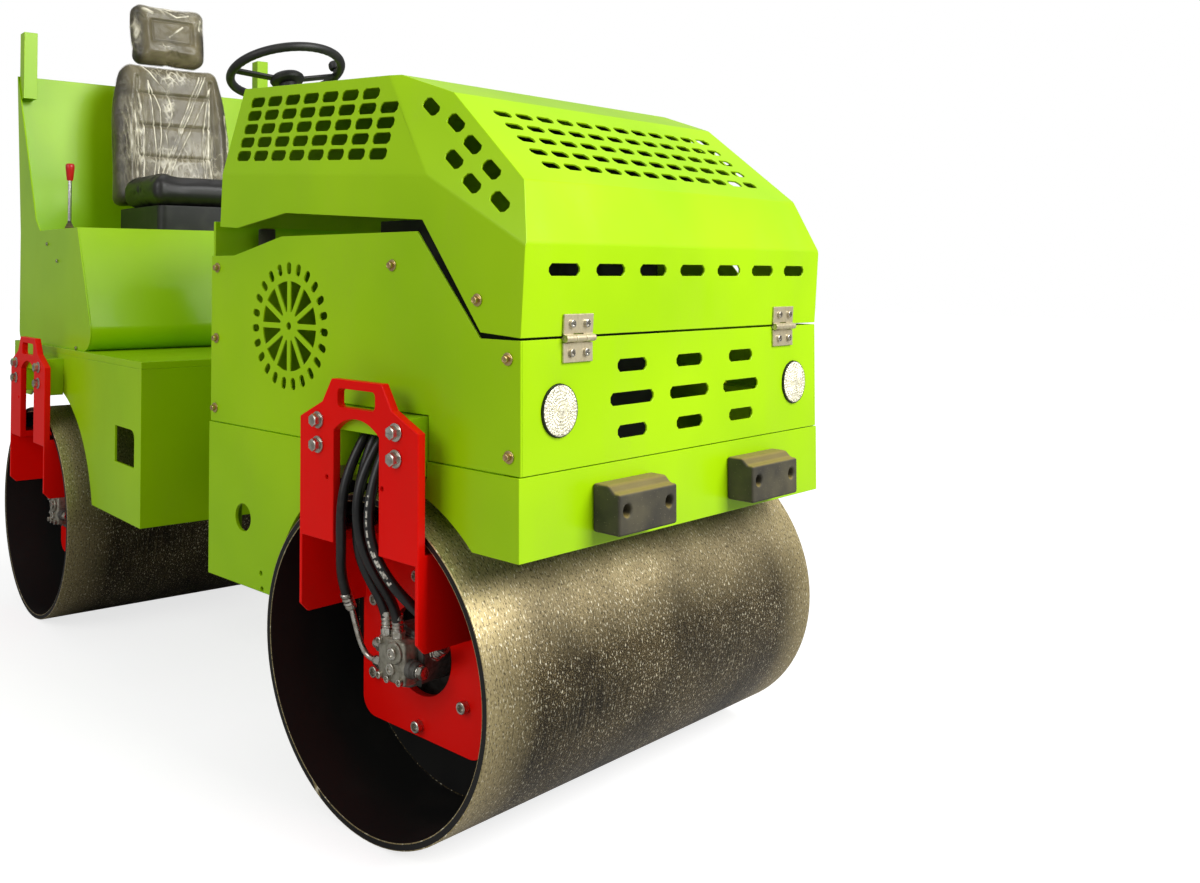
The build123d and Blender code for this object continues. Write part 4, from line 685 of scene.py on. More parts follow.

# Rubber: the drum mounts, the hood's stops and the two bumper blocks. They are moulded black, have gone grey-brown
# with dust, and their upward faces are painted a lighter yellow-brown.
RUBBER = (0.05, 0.045, 0.03, 1)
RUBBER_DARK = (0.030, 0.027, 0.018, 1)
RUBBER_DUST = (0.080, 0.070, 0.038, 1)
RUBBER_SPECK = (0.16, 0.14, 0.09, 1)
RUBBER_TOP = (0.30, 0.225, 0.055, 1)
RUBBER_EASES = (
    ("front_mounts", 0.003), ("rear_mounts", 0.003), ("hood_buffers", 0.005), ("bumper_blocks", 0.006),
)
grit_specks, grit_in, grit_out = new_group(
    "grit_specks",
    (("Scale", "NodeSocketFloat"), ("Share", "NodeSocketFloat"), ("Reach", "NodeSocketFloat")),
    (("Mask", "NodeSocketFloat"),),
)
grit_place = grit_specks.nodes.new("ShaderNodeTexCoord")
grit_cells = grit_specks.nodes.new("ShaderNodeTexVoronoi")
grit_specks.links.new(grit_place.outputs["Object"], grit_cells.inputs["Vector"])
grit_specks.links.new(grit_in.outputs["Scale"], grit_cells.inputs["Scale"])
grit_near = add_math(grit_specks, "LESS_THAN", grit_cells.outputs["Distance"], grit_in.outputs["Reach"])
grit_lot = grit_specks.nodes.new("ShaderNodeSeparateColor")
grit_specks.links.new(grit_cells.outputs["Color"], grit_lot.inputs["Color"])
grit_kept = add_math(grit_specks, "LESS_THAN", grit_lot.outputs["Red"], grit_in.outputs["Share"])
grit_specks.links.new(add_product(grit_specks, grit_near, grit_kept), grit_out.inputs["Mask"])


def add_specks(tree, scale, share, reach):
    """Specks of grit on a surface: how fine, what share of them is there, and how far each spreads."""
    return add_group(tree, grit_specks, {"Scale": scale, "Share": share, "Reach": reach}).outputs["Mask"]


moulded_rubber, rubber_shader = plain_finish("moulded_rubber", RUBBER, 0.75)
rubber_tree = moulded_rubber.node_tree
rubber_clouds = add_range(rubber_tree, add_noise(rubber_tree, 14.0, 6.0), 0.35, 0.7)
rubber_dusty = add_mix(rubber_tree, rubber_clouds, RUBBER_DARK, RUBBER_DUST)
rubber_specks = add_specks(rubber_tree, 240.0, 0.12, 0.2)
rubber_specked = add_mix(rubber_tree, rubber_specks, rubber_dusty, RUBBER_SPECK)
# Faces that look up are painted a lighter yellow-brown.
rubber_faces = rubber_tree.nodes.new("ShaderNodeNewGeometry")
rubber_up = rubber_tree.nodes.new("ShaderNodeSeparateXYZ")
rubber_tree.links.new(rubber_faces.outputs["Normal"], rubber_up.inputs[0])
rubber_top_mask = add_range(rubber_tree, rubber_up.outputs["Z"], 0.45, 0.95, 0.0, 0.8)
rubber_colour = add_mix(rubber_tree, rubber_top_mask, rubber_specked, RUBBER_TOP)
rubber_tree.links.new(rubber_colour, rubber_shader.inputs["Base Color"])
bumped(moulded_rubber, add_noise(rubber_tree, 500.0, 3.0), 0.3, 0.0006)
for rubber_node, rubber_ease in RUBBER_EASES:
    eased(rubber_node, rubber_ease, moulded_rubber, 3)

# Head lamps: a round lens moulded with rings of small prisms, in a thin black bezel that is pressed into the front
# panel.
LAMP_SPOTS = ((0.390, -0.433, 0.899), (0.390, 0.433, 0.899))
LENS_R = 0.0485
LENS_DEPTH = 0.010
LENS_RINGS = 6
LENS_STEP = 0.0006
LENS_PRISM = 0.0016
LENS = (0.86, 0.84, 0.74, 1)
LENS_BRIGHT = (0.90, 0.86, 0.66, 1)
LENS_DARK = (0.46, 0.43, 0.32, 1)
BEZEL = (
    (0.0470, -0.004), (0.0470, 0.0042), (0.0480, 0.0050), (0.0500, 0.0050), (0.0507, 0.0040), (0.0507, -0.004),
    (0.0470, -0.004),
)
lens_clear, lens_shader = plain_finish("lamp_lens_clear", LENS, 0.12, 0.35)
lens_tree = lens_clear.node_tree
# The lens's colour is a painted sparkle: pale with darker specks, painted glints and shade of its prisms.
lens_sparkle = add_specks(lens_tree, 190.0, 0.45, 0.42)
lens_colour = add_mix(lens_tree, lens_sparkle, LENS_BRIGHT, LENS_DARK)
lens_tree.links.new(lens_colour, lens_shader.inputs["Base Color"])
bumped(lens_clear, add_noise(lens_tree, 260.0, 2.0), 0.8, 0.003)
bpy.ops.object.select_all(action="DESELECT")
bpy.ops.mesh.primitive_cylinder_add(vertices=40, radius=LENS_R, depth=LENS_DEPTH, location=(0, 0, 0))
lens = bpy.context.object
pick_top(lens)
for ring in range(LENS_RINGS):
    bpy.ops.mesh.inset(thickness=LENS_R / (LENS_RINGS + 1.5), depth=LENS_STEP)
pick_top(lens, 0.7)
bpy.ops.mesh.poke(offset=LENS_PRISM)
bpy.ops.object.mode_set(mode="OBJECT")
lens.data.materials.append(lens_clear)
lamp_places = [facing(spot, (1, 0, 0), front_place) for spot in LAMP_SPOTS]
lamp_lenses = set_out(lens, lamp_places, "head_lamp_lenses", "front_frame")
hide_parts("head_lamps")
bpy.data.objects.remove(lens)


def turned(name, profile, finish, steps=32):
    """A turned piece about Z from (radius, height) points, closed on the axis where the radius is nought."""
    mesh = bpy.data.meshes.new(name)
    mesh.from_pydata([(r, 0, z) for r, z in profile], [(i, i + 1) for i in range(len(profile) - 1)], [])
    piece = add_piece(name, mesh)
    alone(piece)
    bpy.ops.object.mode_set(mode="EDIT")
    bpy.ops.mesh.select_all(action="SELECT")
    bpy.ops.mesh.spin(steps=steps, angle=2 * pi, axis=(0, 0, 1), center=(0, 0, 0))
    bpy.ops.mesh.select_all(action="SELECT")
    bpy.ops.mesh.remove_doubles(threshold=WELD)
    bpy.ops.mesh.normals_make_consistent(inside=False)
    bpy.ops.object.mode_set(mode="OBJECT")
    piece.data.materials.append(finish)
    bpy.ops.object.shade_smooth_by_angle(angle=EASE_ANGLE)
    return piece


bezel = turned("bezel", BEZEL, black_enamel, 40)
set_out(bezel, lamp_places, "head_lamp_bezels", "front_frame")
bpy.data.objects.remove(bezel)

# Hood hinges: cast zinc leaves on one pin, one leaf on the front panel and one on the hood. Each leaf is held by two
# socket-head screws.
HINGE_Y = 0.381
HINGE_Z = 1.035
HINGE_FACE = 0.395
SCREW_Y = 0.022
SCREW_Z = 0.028
HINGE_EASE = 0.0015
CAST_ZINC = (0.68, 0.60, 0.40, 1)
CAST_STAIN = (0.30, 0.24, 0.13, 1)
HINGE_LEAVES = ((-1, "front_frame", front_place, "lower"), (1, "hood", hood_place, "upper"))
cast_zinc = plated("cast_zinc", CAST_ZINC, CAST_STAIN, 0.5, 0.4, 0.7)
eased("hood_hinges_lower", HINGE_EASE, cast_zinc)
eased("hood_hinges_upper", HINGE_EASE, cast_zinc)
hinge_screw = socket_screw(clear_zinc, 0.0075, 0.005)
for rise, body, place, leaf_name in HINGE_LEAVES:
    spots = [
        facing((HINGE_FACE, side * HINGE_Y + shift, HINGE_Z + rise * SCREW_Z), (1, 0, 0), place)
        for side in (-1, 1) for shift in (-SCREW_Y, SCREW_Y)
    ]
    set_out(hinge_screw, spots, f"hinge_screws_{leaf_name}", body)
bpy.data.objects.remove(hinge_screw)

# Drum motors: a round cast iron hydraulic motor on its plate. The port block on its end is a rough casting with
# machined plugs, cap screws, a relief valve cartridge and zinc-plated hexagon adapters for the hoses.
MOTOR_END = 0.481
MOTOR_EASE = 0.004
MOTOR_IRON = (0.15, 0.145, 0.13, 1)
MOTOR_STAIN = (0.05, 0.045, 0.036, 1)
BLOCK_IRON = (0.40, 0.38, 0.31, 1)
BLOCK_STAIN = (0.13, 0.12, 0.085, 1)
BLOCK_MIDDLE = (0.008, 0, 0.021)
BLOCK_SIZE = (0.084, 0.092, 0.042)
BLOCK_EASE = 0.007
BLOCK_SINK = 0.002
COLLAR = ((0, 0.014), (0.0115, 0.014), (0.0115, 0.026), (0.0105, 0.028), (0, 0.028))
PLUG_BOSS = ((0, 0), (0.023, 0), (0.023, 0.006), (0.021, 0.008), (0, 0.008))
CARTRIDGE = ((0, 0), (0.020, 0), (0.020, 0.012), (0.017, 0.014), (0.017, 0.026), (0, 0.026))
OUTWARD = (0, 0, 1)
UPWARD = (0, 1, 0)
REARWARD = (-1, 0, 0)
FORWARD = (1, 0, 0)
motor_iron = plated("motor_iron", MOTOR_IRON, MOTOR_STAIN, 0.8, 0.45, 0.6)
block_iron = plated("block_iron", BLOCK_IRON, BLOCK_STAIN, 0.7, 0.4, 0.75)


def eased_bar(middle, size, ease):
    """A squared bar with its edges eased."""
    bpy.ops.object.select_all(action="DESELECT")
    bpy.ops.mesh.primitive_cube_add(size=1, location=middle)
    bar = bpy.context.object
    bar.scale = size
    bpy.ops.object.transform_apply(location=True, rotation=True, scale=True)
    worked(bar, "BEVEL", width=ease, segments=3)
    return bar


port_block = eased_bar(BLOCK_MIDDLE, BLOCK_SIZE, BLOCK_EASE)
port_block.data.materials.append(block_iron)
bpy.ops.object.shade_smooth_by_angle(angle=EASE_ANGLE)
adapter = flange_bolt(clear_zinc, 0.027, 0.012, 0.0140, 0.004)
collar = turned("collar", COLLAR, clear_zinc, 24)
plug_boss = turned("plug_boss", PLUG_BOSS, block_iron, 32)
port_plug = socket_screw(clear_zinc, 0.0125, 0.005)
cap_screw = socket_screw(clear_zinc, 0.0075, 0.008)
cartridge = turned("cartridge", CARTRIDGE, motor_iron, 32)
cartridge_cap = flange_bolt(clear_zinc, 0.024, 0.010, 0.0145, 0.004)
block_fittings = (
    (adapter, (-0.033, 0.018, 0.024), REARWARD),
    (collar, (-0.033, 0.018, 0.024), REARWARD),
    (adapter, (-0.033, -0.020, 0.024), REARWARD),
    (collar, (-0.033, -0.020, 0.024), REARWARD),
    (adapter, (-0.020, 0.045, 0.026), UPWARD),
    (adapter, (0.014, 0.045, 0.026), UPWARD),
    (plug_boss, (0.022, 0.020, 0.041), OUTWARD),
    (port_plug, (0.022, 0.020, 0.049), OUTWARD),
    (port_plug, (0.010, -0.016, 0.042), OUTWARD),
    (cartridge, (0.049, -0.010, 0.022), FORWARD),
    (cartridge_cap, (0.075, -0.010, 0.022), FORWARD),
    (cap_screw, (-0.024, 0.036, 0.042), OUTWARD),
    (cap_screw, (-0.024, -0.036, 0.042), OUTWARD),
    (cap_screw, (0.002, -0.038, 0.042), OUTWARD),
    (cap_screw, (0.040, -0.036, 0.042), OUTWARD),
)
block_parts = [
    copied(model, "fitting", facing(point, outward, Matrix.Identity(4)))
    for model, point, outward in block_fittings
]
for model in (adapter, collar, plug_boss, port_plug, cap_screw, cartridge, cartridge_cap):
    bpy.data.objects.remove(model)
joined([port_block, *block_parts])
for axle_x, axle_name, body, place in AXLES:
    for side, side_name in SIDES:
        motor = eased(f"{axle_name}_motor_{side_name}", MOTOR_EASE, motor_iron, 3)
        end_point = Vector((axle_x, side * MOTOR_END, AXLE_Z))
        end_facing = Vector((0, side, 0))
        alone(motor)
        bpy.ops.object.mode_set(mode="EDIT")
        bpy.ops.mesh.select_all(action="SELECT")
        bpy.ops.mesh.bisect(
            plane_co=place @ end_point, plane_no=place.to_3x3() @ end_facing, use_fill=True, clear_outer=True
        )
        bpy.ops.object.mode_set(mode="OBJECT")
        block_spot = facing(end_point - end_facing * BLOCK_SINK, end_facing, place)
        set_out(port_block, [block_spot], f"{axle_name}_port_block_{side_name}", body)
bpy.data.objects.remove(port_block)

# Hydraulic hoses: four black rubber hoses that leave the frame behind the right front fork and hang through its
# window. Two end on top of the port block and one at the motor's side, each in a crimped zinc ferrule, and the
# outer one ends in a bent steel tube. One carries a row of plain pale dashes.
HOSE_R = 0.011
TUBE_R = 0.0065
HOSE_ROUTES = (
    ((-0.037, -0.538, 0.838), (-0.039, -0.562, 0.806), (-0.049, -0.598, 0.740), (-0.049, -0.612, 0.655),
     (-0.058, -0.600, 0.575), (-0.098, -0.572, 0.505), (-0.101, -0.538, 0.440)),
    ((-0.0125, -0.538, 0.832), (-0.016, -0.558, 0.800), (-0.027, -0.578, 0.730), (-0.034, -0.580, 0.650),
     (-0.042, -0.572, 0.570), (-0.034, -0.530, 0.490), (-0.022, -0.508, 0.450), (-0.020, -0.505, 0.405)),
    ((0.0125, -0.538, 0.834), (0.010, -0.562, 0.802), (0.000, -0.602, 0.735), (0.003, -0.614, 0.655),
     (0.018, -0.598, 0.570), (0.022, -0.540, 0.495), (0.015, -0.510, 0.450), (0.014, -0.505, 0.405)),
    ((0.038, -0.538, 0.838), (0.040, -0.564, 0.806), (0.044, -0.602, 0.740), (0.046, -0.618, 0.665),
     (0.052, -0.610, 0.595), (0.112, -0.596, 0.525), (0.156, -0.540, 0.465), (0.140, -0.484, 0.408),
     (0.092, -0.466, 0.376)),
)
TUBE_ROUTE = (
    (-0.101, -0.538, 0.440), (-0.101, -0.522, 0.384), (-0.101, -0.506, 0.340), (-0.082, -0.504, 0.331),
    (-0.060, -0.504, 0.330),
)
TUBED_HOSE = 1
DASHED_HOSE = 4
DASH = 0.0065
DASH_FACING = (0.42, -0.90, 0.10)
DASH_NARROW = 0.975
NUT_BACK = 0.012
HOSE = (0.010, 0.010, 0.010, 1)
HOSE_DARK = (0.007, 0.007, 0.007, 1)
HOSE_DUST = (0.028, 0.026, 0.020, 1)
PRINT = (0.62, 0.60, 0.52, 1)
PRINT_PALE = (0.66, 0.64, 0.55, 1)
PRINT_WORN = (0.16, 0.15, 0.13, 1)
FERRULE = (
    (0, 0), (0.0120, 0), (0.0126, 0.003), (0.0126, 0.008), (0.0114, 0.011), (0.0132, 0.014), (0.0117, 0.019),
    (0.0132, 0.024), (0.0117, 0.029), (0.0132, 0.034), (0.0128, 0.040), (0.0112, 0.041), (0, 0.041),
)


def two_toned(name, plain, roughness, tone, first, second, grain=None):
    """A finish that wanders between two colours, with a fine grain where it has one.

    The tone is a noise's scale and detail and the range that is used of it. The grain is a noise's scale and detail,
    and its bump's strength and depth.
    """
    material, shader = plain_finish(name, plain, roughness)
    tree = material.node_tree
    tone_scale, tone_detail, low, high = tone
    wander = add_range(tree, add_noise(tree, tone_scale, tone_detail), low, high)
    tree.links.new(add_mix(tree, wander, first, second), shader.inputs["Base Color"])
    if grain:
        grain_scale, grain_detail, strength, depth = grain
        bumped(material, add_noise(tree, grain_scale, grain_detail), strength, depth)
    return material


def drawn_along(name, route, radius, finish):
    """A round piece drawn along a smooth line through the front half's points."""
    line = bpy.data.curves.new(name, "CURVE")
    line.dimensions = "3D"
    line.bevel_depth = radius
    line.bevel_resolution = 6
    line.resolution_u = 16
    path = line.splines.new("NURBS")
    path.points.add(len(route) - 1)
    for control, spot in zip(path.points, route):
        control.co = (*(front_place @ Vector(spot)), 1)
    path.order_u = 4
    path.use_endpoint_u = True
    piece = add_piece(name, line)
    alone(piece)
    bpy.ops.object.convert(target="MESH")
    piece = bpy.context.object
    piece.name = name
    piece.data.materials.clear()
    piece.data.materials.append(finish)
    bpy.ops.object.shade_smooth()
    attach(piece, "front_frame")
    return piece


hose_black = two_toned(
    "hose_black", HOSE, 0.36, (40.0, 5.0, 0.55, 0.8), HOSE_DARK, HOSE_DUST, (700.0, 2.0, 0.2, 0.0004)
)
hose_print = two_toned("hose_print", PRINT, 0.5, (220.0, 3.0, 0.45, 0.65), PRINT_PALE, PRINT_WORN)
ferrule = turned("ferrule", FERRULE, clear_zinc, 24)
hose_nut = flange_bolt(clear_zinc, 0.026, 0.012, 0.0145, 0.003)
ferrule_spots = []
nut_spots = []
for number, route in enumerate(HOSE_ROUTES, 1):
    hose = drawn_along(f"front_hose_{number}", route, HOSE_R, hose_black)
    if number == 1:
        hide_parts("front_hoses")
    if number == DASHED_HOSE:
        hose.data.materials.append(hose_print)
        for face in hose.data.polygons:
            shows = face.normal.dot(Vector(DASH_FACING)) > DASH_NARROW
            if shows and int(face.center.z / DASH) % 3:
                face.material_index = 1
    end = Vector(route[-1])
    back = (Vector(route[-2]) - end).normalized()
    ferrule_spots.append(facing(end, back, front_place))
    if number != TUBED_HOSE:
        nut_spots.append(facing(end - back * NUT_BACK, back, front_place))
drawn_along("front_hose_tube", TUBE_ROUTE, TUBE_R, clear_zinc)
set_out(ferrule, ferrule_spots, "hose_ferrules", "front_frame")
set_out(hose_nut, nut_spots, "hose_nuts", "front_frame")
bpy.data.objects.remove(ferrule)
bpy.data.objects.remove(hose_nut)

# Seat pads: foam cushion, backrest and headrest in black vinyl, swollen in a cloth simulation so that their faces
# crown between the edges. The bolsters are shaped first, and the sewn channels are pressed in afterwards.
SEAT_Y = 0.005
PAD_VOXEL = 0.006
PAD_FRAMES = 18
PAD_CAP = 0.009
PAD_PRESSURE = 4
PAD_CUTS = 40
VINYL = (0.012, 0.011, 0.010, 1)
VINYL_DARK = (0.010, 0.0095, 0.009, 1)
VINYL_PALE = (0.020, 0.018, 0.015, 1)
BACK_SIZE = (0.086, 0.474, 0.558)
BACK_CORNER = 0.036
BACK_MIDDLE = (-2.0825, SEAT_Y, 1.6825)
BACK_LEAN = radians(6)
BACK_NARROWS = 0.20
BACK_BOLSTER = 0.024
BACK_HOLLOW = 0.010
BACK_CHANNELS = (0.56, 0.12, -0.32)
BACK_SEAM_DEEP = 0.009
BACK_SEAM_WIDE = 0.64
HEAD_SIZE = (0.086, 0.300, 0.234)
HEAD_CORNER = 0.034
HEAD_MIDDLE = (-2.115, SEAT_Y, 2.0810)
HEAD_LEAN = radians(4)
HEAD_SLOPE = 0.012
HEAD_NARROWS = 0.05
HEAD_PANEL = (0.080, 0.042)
HEAD_PANEL_UP = 0.010
HEAD_SEAM_DEEP = 0.008
HEAD_PANEL_SUNK = 0.55
CUSHION_SIZE = (0.330, 0.468, 0.086)
CUSHION_CORNER = 0.034
CUSHION_MIDDLE = (-1.8215, SEAT_Y, 1.4465)
CUSHION_BOLSTER = 0.012
CUSHION_ROLL = 0.018
seat_vinyl = two_toned(
    "seat_vinyl_black", VINYL, 0.42, (9.0, 4.0, 0.4, 0.7), VINYL_DARK, VINYL_PALE, (420.0, 3.0, 0.35, 0.0008)
)


def soft_block(name, size, corner, middle, lean, shape):
    """A padded block of the seat: rounded, shaped, stood at its middle with a lean, and swollen in a cloth run."""
    bpy.ops.object.select_all(action="DESELECT")
    bpy.ops.mesh.primitive_cube_add(size=2)
    piece = bpy.context.object
    piece.name = name
    bpy.ops.object.mode_set(mode="EDIT")
    bpy.ops.mesh.select_all(action="SELECT")
    bpy.ops.mesh.subdivide(number_cuts=PAD_CUTS)
    bpy.ops.object.mode_set(mode="OBJECT")
    half = Vector(size) / 2
    for vertex in piece.data.vertices:
        at = Vector((vertex.co[i] * half[i] for i in range(3)))
        core = Vector((max(corner - half[i], min(half[i] - corner, at[i])) for i in range(3)))
        off = at - core
        vertex.co = shape(core + off.normalized() * corner if off.length > 0 else at, half)
    worked(piece, "REMESH", mode="VOXEL", voxel_size=PAD_VOXEL)
    stand = rear_place @ Matrix.Translation(middle) @ Matrix.Rotation(-lean, 4, "Y")
    piece.data.transform(stand)
    before = [vertex.co.copy() for vertex in piece.data.vertices]
    swell = piece.modifiers.new("swell", "CLOTH")
    swell.settings.use_pressure = True
    swell.settings.uniform_pressure_force = PAD_PRESSURE
    swell.settings.effector_weights.gravity = 0
    swell.point_cache.frame_end = PAD_FRAMES
    for step in range(1, PAD_FRAMES + 1):
        bpy.context.scene.frame_set(step)
    bpy.ops.object.modifier_apply(modifier=swell.name)
    bpy.context.scene.frame_set(1)
    for vertex, was in zip(piece.data.vertices, before):
        move = vertex.co - was
        if move.length > PAD_CAP:
            vertex.co = was + move.normalized() * PAD_CAP
    piece.data.materials.append(seat_vinyl)
    bpy.ops.object.shade_smooth()
    return piece, stand


def bell(value, centre, spread):
    """One at a centre and falling off to both sides."""
    return exp(-(((value - centre) / spread) ** 2))


def back_form(at, half):
    """The backrest narrows to its shoulders, and its sides stand forward as bolsters."""
    high = at.z / half.z
    wide = at.y / half.y
    fore = max(0.0, at.x / half.x)
    narrow = 1 - BACK_NARROWS * max(0.0, (high - 0.1) / 0.9) ** 2
    bolster = BACK_BOLSTER * bell(abs(wide), 0.84, 0.2) * fore * (1 - 0.4 * max(0.0, high))
    hollow = -BACK_HOLLOW * bell(wide, 0, 0.5) * fore
    return Vector((at.x + bolster + hollow, at.y * narrow, at.z))


def head_form(at, half):
    """The headrest leans its lower face in and is crowned in front."""
    high = at.z / half.z
    slope = HEAD_SLOPE * high * max(0.0, at.x / half.x)
    return Vector((at.x - slope, at.y * (1 - HEAD_NARROWS * max(0.0, -high)), at.z))


def cushion_form(at, half):
    """The cushion rises to its side bolsters and rolls down at its front edge."""
    fore = at.x / half.x
    wide = abs(at.y / half.y)
    up = max(0.0, at.z / half.z)
    rise = CUSHION_BOLSTER * bell(wide, 0.86, 0.2) - CUSHION_ROLL * max(0.0, fore - 0.4) ** 2
    return Vector((at.x, at.y, at.z + up * rise))


def back_seam(at):
    """How deep the backrest's channels and side seams are at a point of its front."""
    high = at.z / (BACK_SIZE[2] / 2)
    wide = abs(at.y) / (BACK_SIZE[1] / 2)
    across = sum(bell(high, level, 0.022) for level in BACK_CHANNELS) if wide < 0.62 else 0
    beside = bell(wide, BACK_SEAM_WIDE, 0.03) if -0.9 < high < 0.8 else 0
    return BACK_SEAM_DEEP * max(across, beside)


def head_seam(at):
    """How deep the headrest's sunk panel and the seam round it are at a point of its front."""
    reach = max(abs(at.y) / HEAD_PANEL[0], abs(at.z - HEAD_PANEL_UP) / HEAD_PANEL[1])
    return HEAD_SEAM_DEEP * max(bell(reach, 1.0, 0.09), HEAD_PANEL_SUNK if reach < 1 else 0)


def press_in(pad, stand, seam):
    """Presses seams into a pad's front."""
    inverse = stand.inverted()
    for vertex in pad.data.vertices:
        at = inverse @ vertex.co
        if at.x > 0:
            at.x -= seam(at)
            vertex.co = stand @ at


backrest, back_stand = soft_block(
    "seat_backrest_pad", BACK_SIZE, BACK_CORNER, BACK_MIDDLE, BACK_LEAN, back_form
)
headrest, head_stand = soft_block(
    "seat_headrest_pad", HEAD_SIZE, HEAD_CORNER, HEAD_MIDDLE, HEAD_LEAN, head_form
)
cushion = soft_block(
    "seat_cushion_pad", CUSHION_SIZE, CUSHION_CORNER, CUSHION_MIDDLE, 0, cushion_form
)[0]
press_in(backrest, back_stand, back_seam)
press_in(headrest, head_stand, head_seam)
for pad, pad_node, pad_fill in (
    (backrest, "seat_backrest", 0.75), (headrest, "seat_headrest", 0.85), (cushion, "seat_cushion", 0.7),
):
    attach(pad, "rear_frame")
    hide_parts(pad_node)

# Transport film: a thin clear plastic sheet pulled over the front of the backrest and of the headrest. It is drawn
# into straight creases from the right shoulder to the middle, crinkled along the sides and crumpled on top, and its
# creases and folds carry a pale painted highlight.
FILM_OFF = 0.003
FILM_BACK = 0.2
FILM_VEIL = 0.40
CREASE_FINE = 3.2
CREASE_UP = 0.0035
FOLD_UP = 0.002
RIPPLE_UP = 0.001
FILM = (0.62, 0.56, 0.40, 1)
FILM_DARK = (0.26, 0.21, 0.10, 1)
FILM_PALE = (0.50, 0.43, 0.24, 1)
FILM_CREASE_HIGHLIGHT = (0.98, 0.93, 0.74, 1)
BACK_PULLS = (
    (((-0.127, 0.266), (-0.040, 0.181), (-0.014, 0.128), (-0.007, 0.086), (-0.020, 0.044), (-0.036, 0.005),
      (-0.02, -0.20)), 0.0042),
    (((0.108, 0.238), (-0.023, -0.077), (-0.085, -0.225)), 0.0036),
    (((0.133, 0.238), (-0.007, -0.077), (-0.066, -0.215)), 0.0036),
    (((0.120, 0.238), (-0.015, -0.077)), 0.0024),
    (((0.154, 0.199), (0.016, -0.077), (-0.045, -0.20)), 0.0032),
    (((0.144, 0.189), (0.114, -0.019), (0.120, -0.22)), 0.0034),
    (((0.147, 0.192), (0.134, -0.077), (0.150, -0.24)), 0.0042),
    (((-0.107, 0.206), (-0.056, 0.100), (-0.053, -0.002), (-0.075, -0.18)), 0.0034),
    (((-0.106, 0.199), (-0.089, 0.100), (-0.076, -0.077), (-0.10, -0.23)), 0.0036),
    (((-0.145, 0.150), (-0.128, 0.020), (-0.138, -0.22)), 0.0044),
    (((-0.170, 0.080), (-0.158, -0.050), (-0.168, -0.24)), 0.0050),
    (((0.205, 0.090), (0.214, -0.080), (0.212, -0.24)), 0.0040),
)
BACK_CRUMPLES = (
    ((-0.05, 0.84), (0.42, 0.20), 44, 40, 1.0),
    ((-0.66, -0.1), (0.22, 0.80), 72, 10, 1.0),
    ((0.60, -0.35), (0.20, 0.55), 64, 14, 0.95),
    ((0.0, -0.45), (0.9, 0.60), 48, 18, 0.75),
    ((-0.08, 0.40), (0.13, 0.30), 46, 42, 1.0),
    ((0.96, -0.2), (0.10, 0.70), 40, 7, 0.8),
)
HEAD_PULLS = (
    (((0.044, 0.034), (0.010, 0.006), (-0.012, -0.012)), 0.0050),
    (((0.118, 0.070), (0.112, 0.030)), 0.0060),
    (((-0.108, 0.092), (-0.080, 0.078)), 0.0110),
    (((-0.030, 0.090), (0.020, 0.070), (0.070, 0.082)), 0.0042),
)
HEAD_CRUMPLES = (
    ((0.0, 0.82), (0.7, 0.24), 34, 40, 1.0),
    ((-0.2, -0.42), (0.34, 0.12), 56, 56, 0.8),
    ((-0.92, 0.0), (0.12, 0.60), 50, 14, 0.8),
    ((0.85, 0.5), (0.18, 0.40), 40, 24, 0.8),
)
film_clear, film_shader = plain_finish("clear_film", FILM, 0.24)
film_tree = film_clear.node_tree
film_crease_and_highlight = film_tree.nodes.new("ShaderNodeAttribute")
film_crease_and_highlight.attribute_name = "crease_and_highlight"
film_veil = film_tree.nodes.new("ShaderNodeAttribute")
film_veil.attribute_name = "veil"
film_grey = add_mix(film_tree, add_noise(film_tree, 26.0, 5.0, (1, 1, 0.3)), FILM_DARK, FILM_PALE)
# The film is painted pale along its creases and folds, a painted highlight, and is less clear there.
film_colour = add_mix(film_tree, film_crease_and_highlight.outputs["Fac"], film_grey, FILM_CREASE_HIGHLIGHT)
film_cover = add_math(film_tree, "MAXIMUM", film_crease_and_highlight.outputs["Fac"], film_veil.outputs["Fac"])
film_tree.links.new(film_colour, film_shader.inputs["Base Color"])
film_tree.links.new(film_cover, film_shader.inputs["Alpha"])
bumped(film_clear, add_noise(film_tree, 90.0, 4.0, (1, 1, 0.35)), 0.5, 0.003)


def ridged(at, across, along, shift):
    """One on thin wandering lines and nought between them, as creases lie in a thin film."""
    return max(0.0, 1 - CREASE_FINE * abs(noise.noise(Vector((at.y * across, at.z * along, shift)))))


def near_line(at, line):
    """How far a point of a pad's face lies from a line of points on it."""
    spot = Vector((at.y, at.z))
    nearest = 1.0
    for start, stop in zip(line, line[1:]):
        run = Vector(stop) - Vector(start)
        share = max(0.0, min(1.0, (spot - Vector(start)).dot(run) / run.length_squared))
        nearest = min(nearest, (spot - Vector(start) - run * share).length)
    return nearest


def crumpled(at, size, crumples):
    """How far the film is crumpled at a point of a pad, from patches of fine and coarse creases."""
    wide = at.y / (size[1] / 2)
    high = at.z / (size[2] / 2)
    folds = 0.0
    for middle, reach, across, along, share in crumples:
        inside = bell(wide, middle[0], reach[0]) * bell(high, middle[1], reach[1])
        coarse = ridged(at, across, along, 3)
        fine = 0.7 * ridged(at, across * 2.1, along * 1.8, 8)
        folds = max(folds, share * inside * max(coarse, fine))
    return folds


def creased(at, lines):
    """How far the film is drawn into its straight creases at a point of a pad."""
    pulled = 0.0
    for line, width in lines:
        drift = 0.004 * noise.noise(Vector((at.z * 14, line[0][0] * 40, 0)))
        pulled = max(pulled, bell(near_line(at + Vector((0, drift, 0)), line), 0, width))
    return pulled * max(0.4, min(1.0, 0.85 + 0.8 * noise.noise(at * 34)))


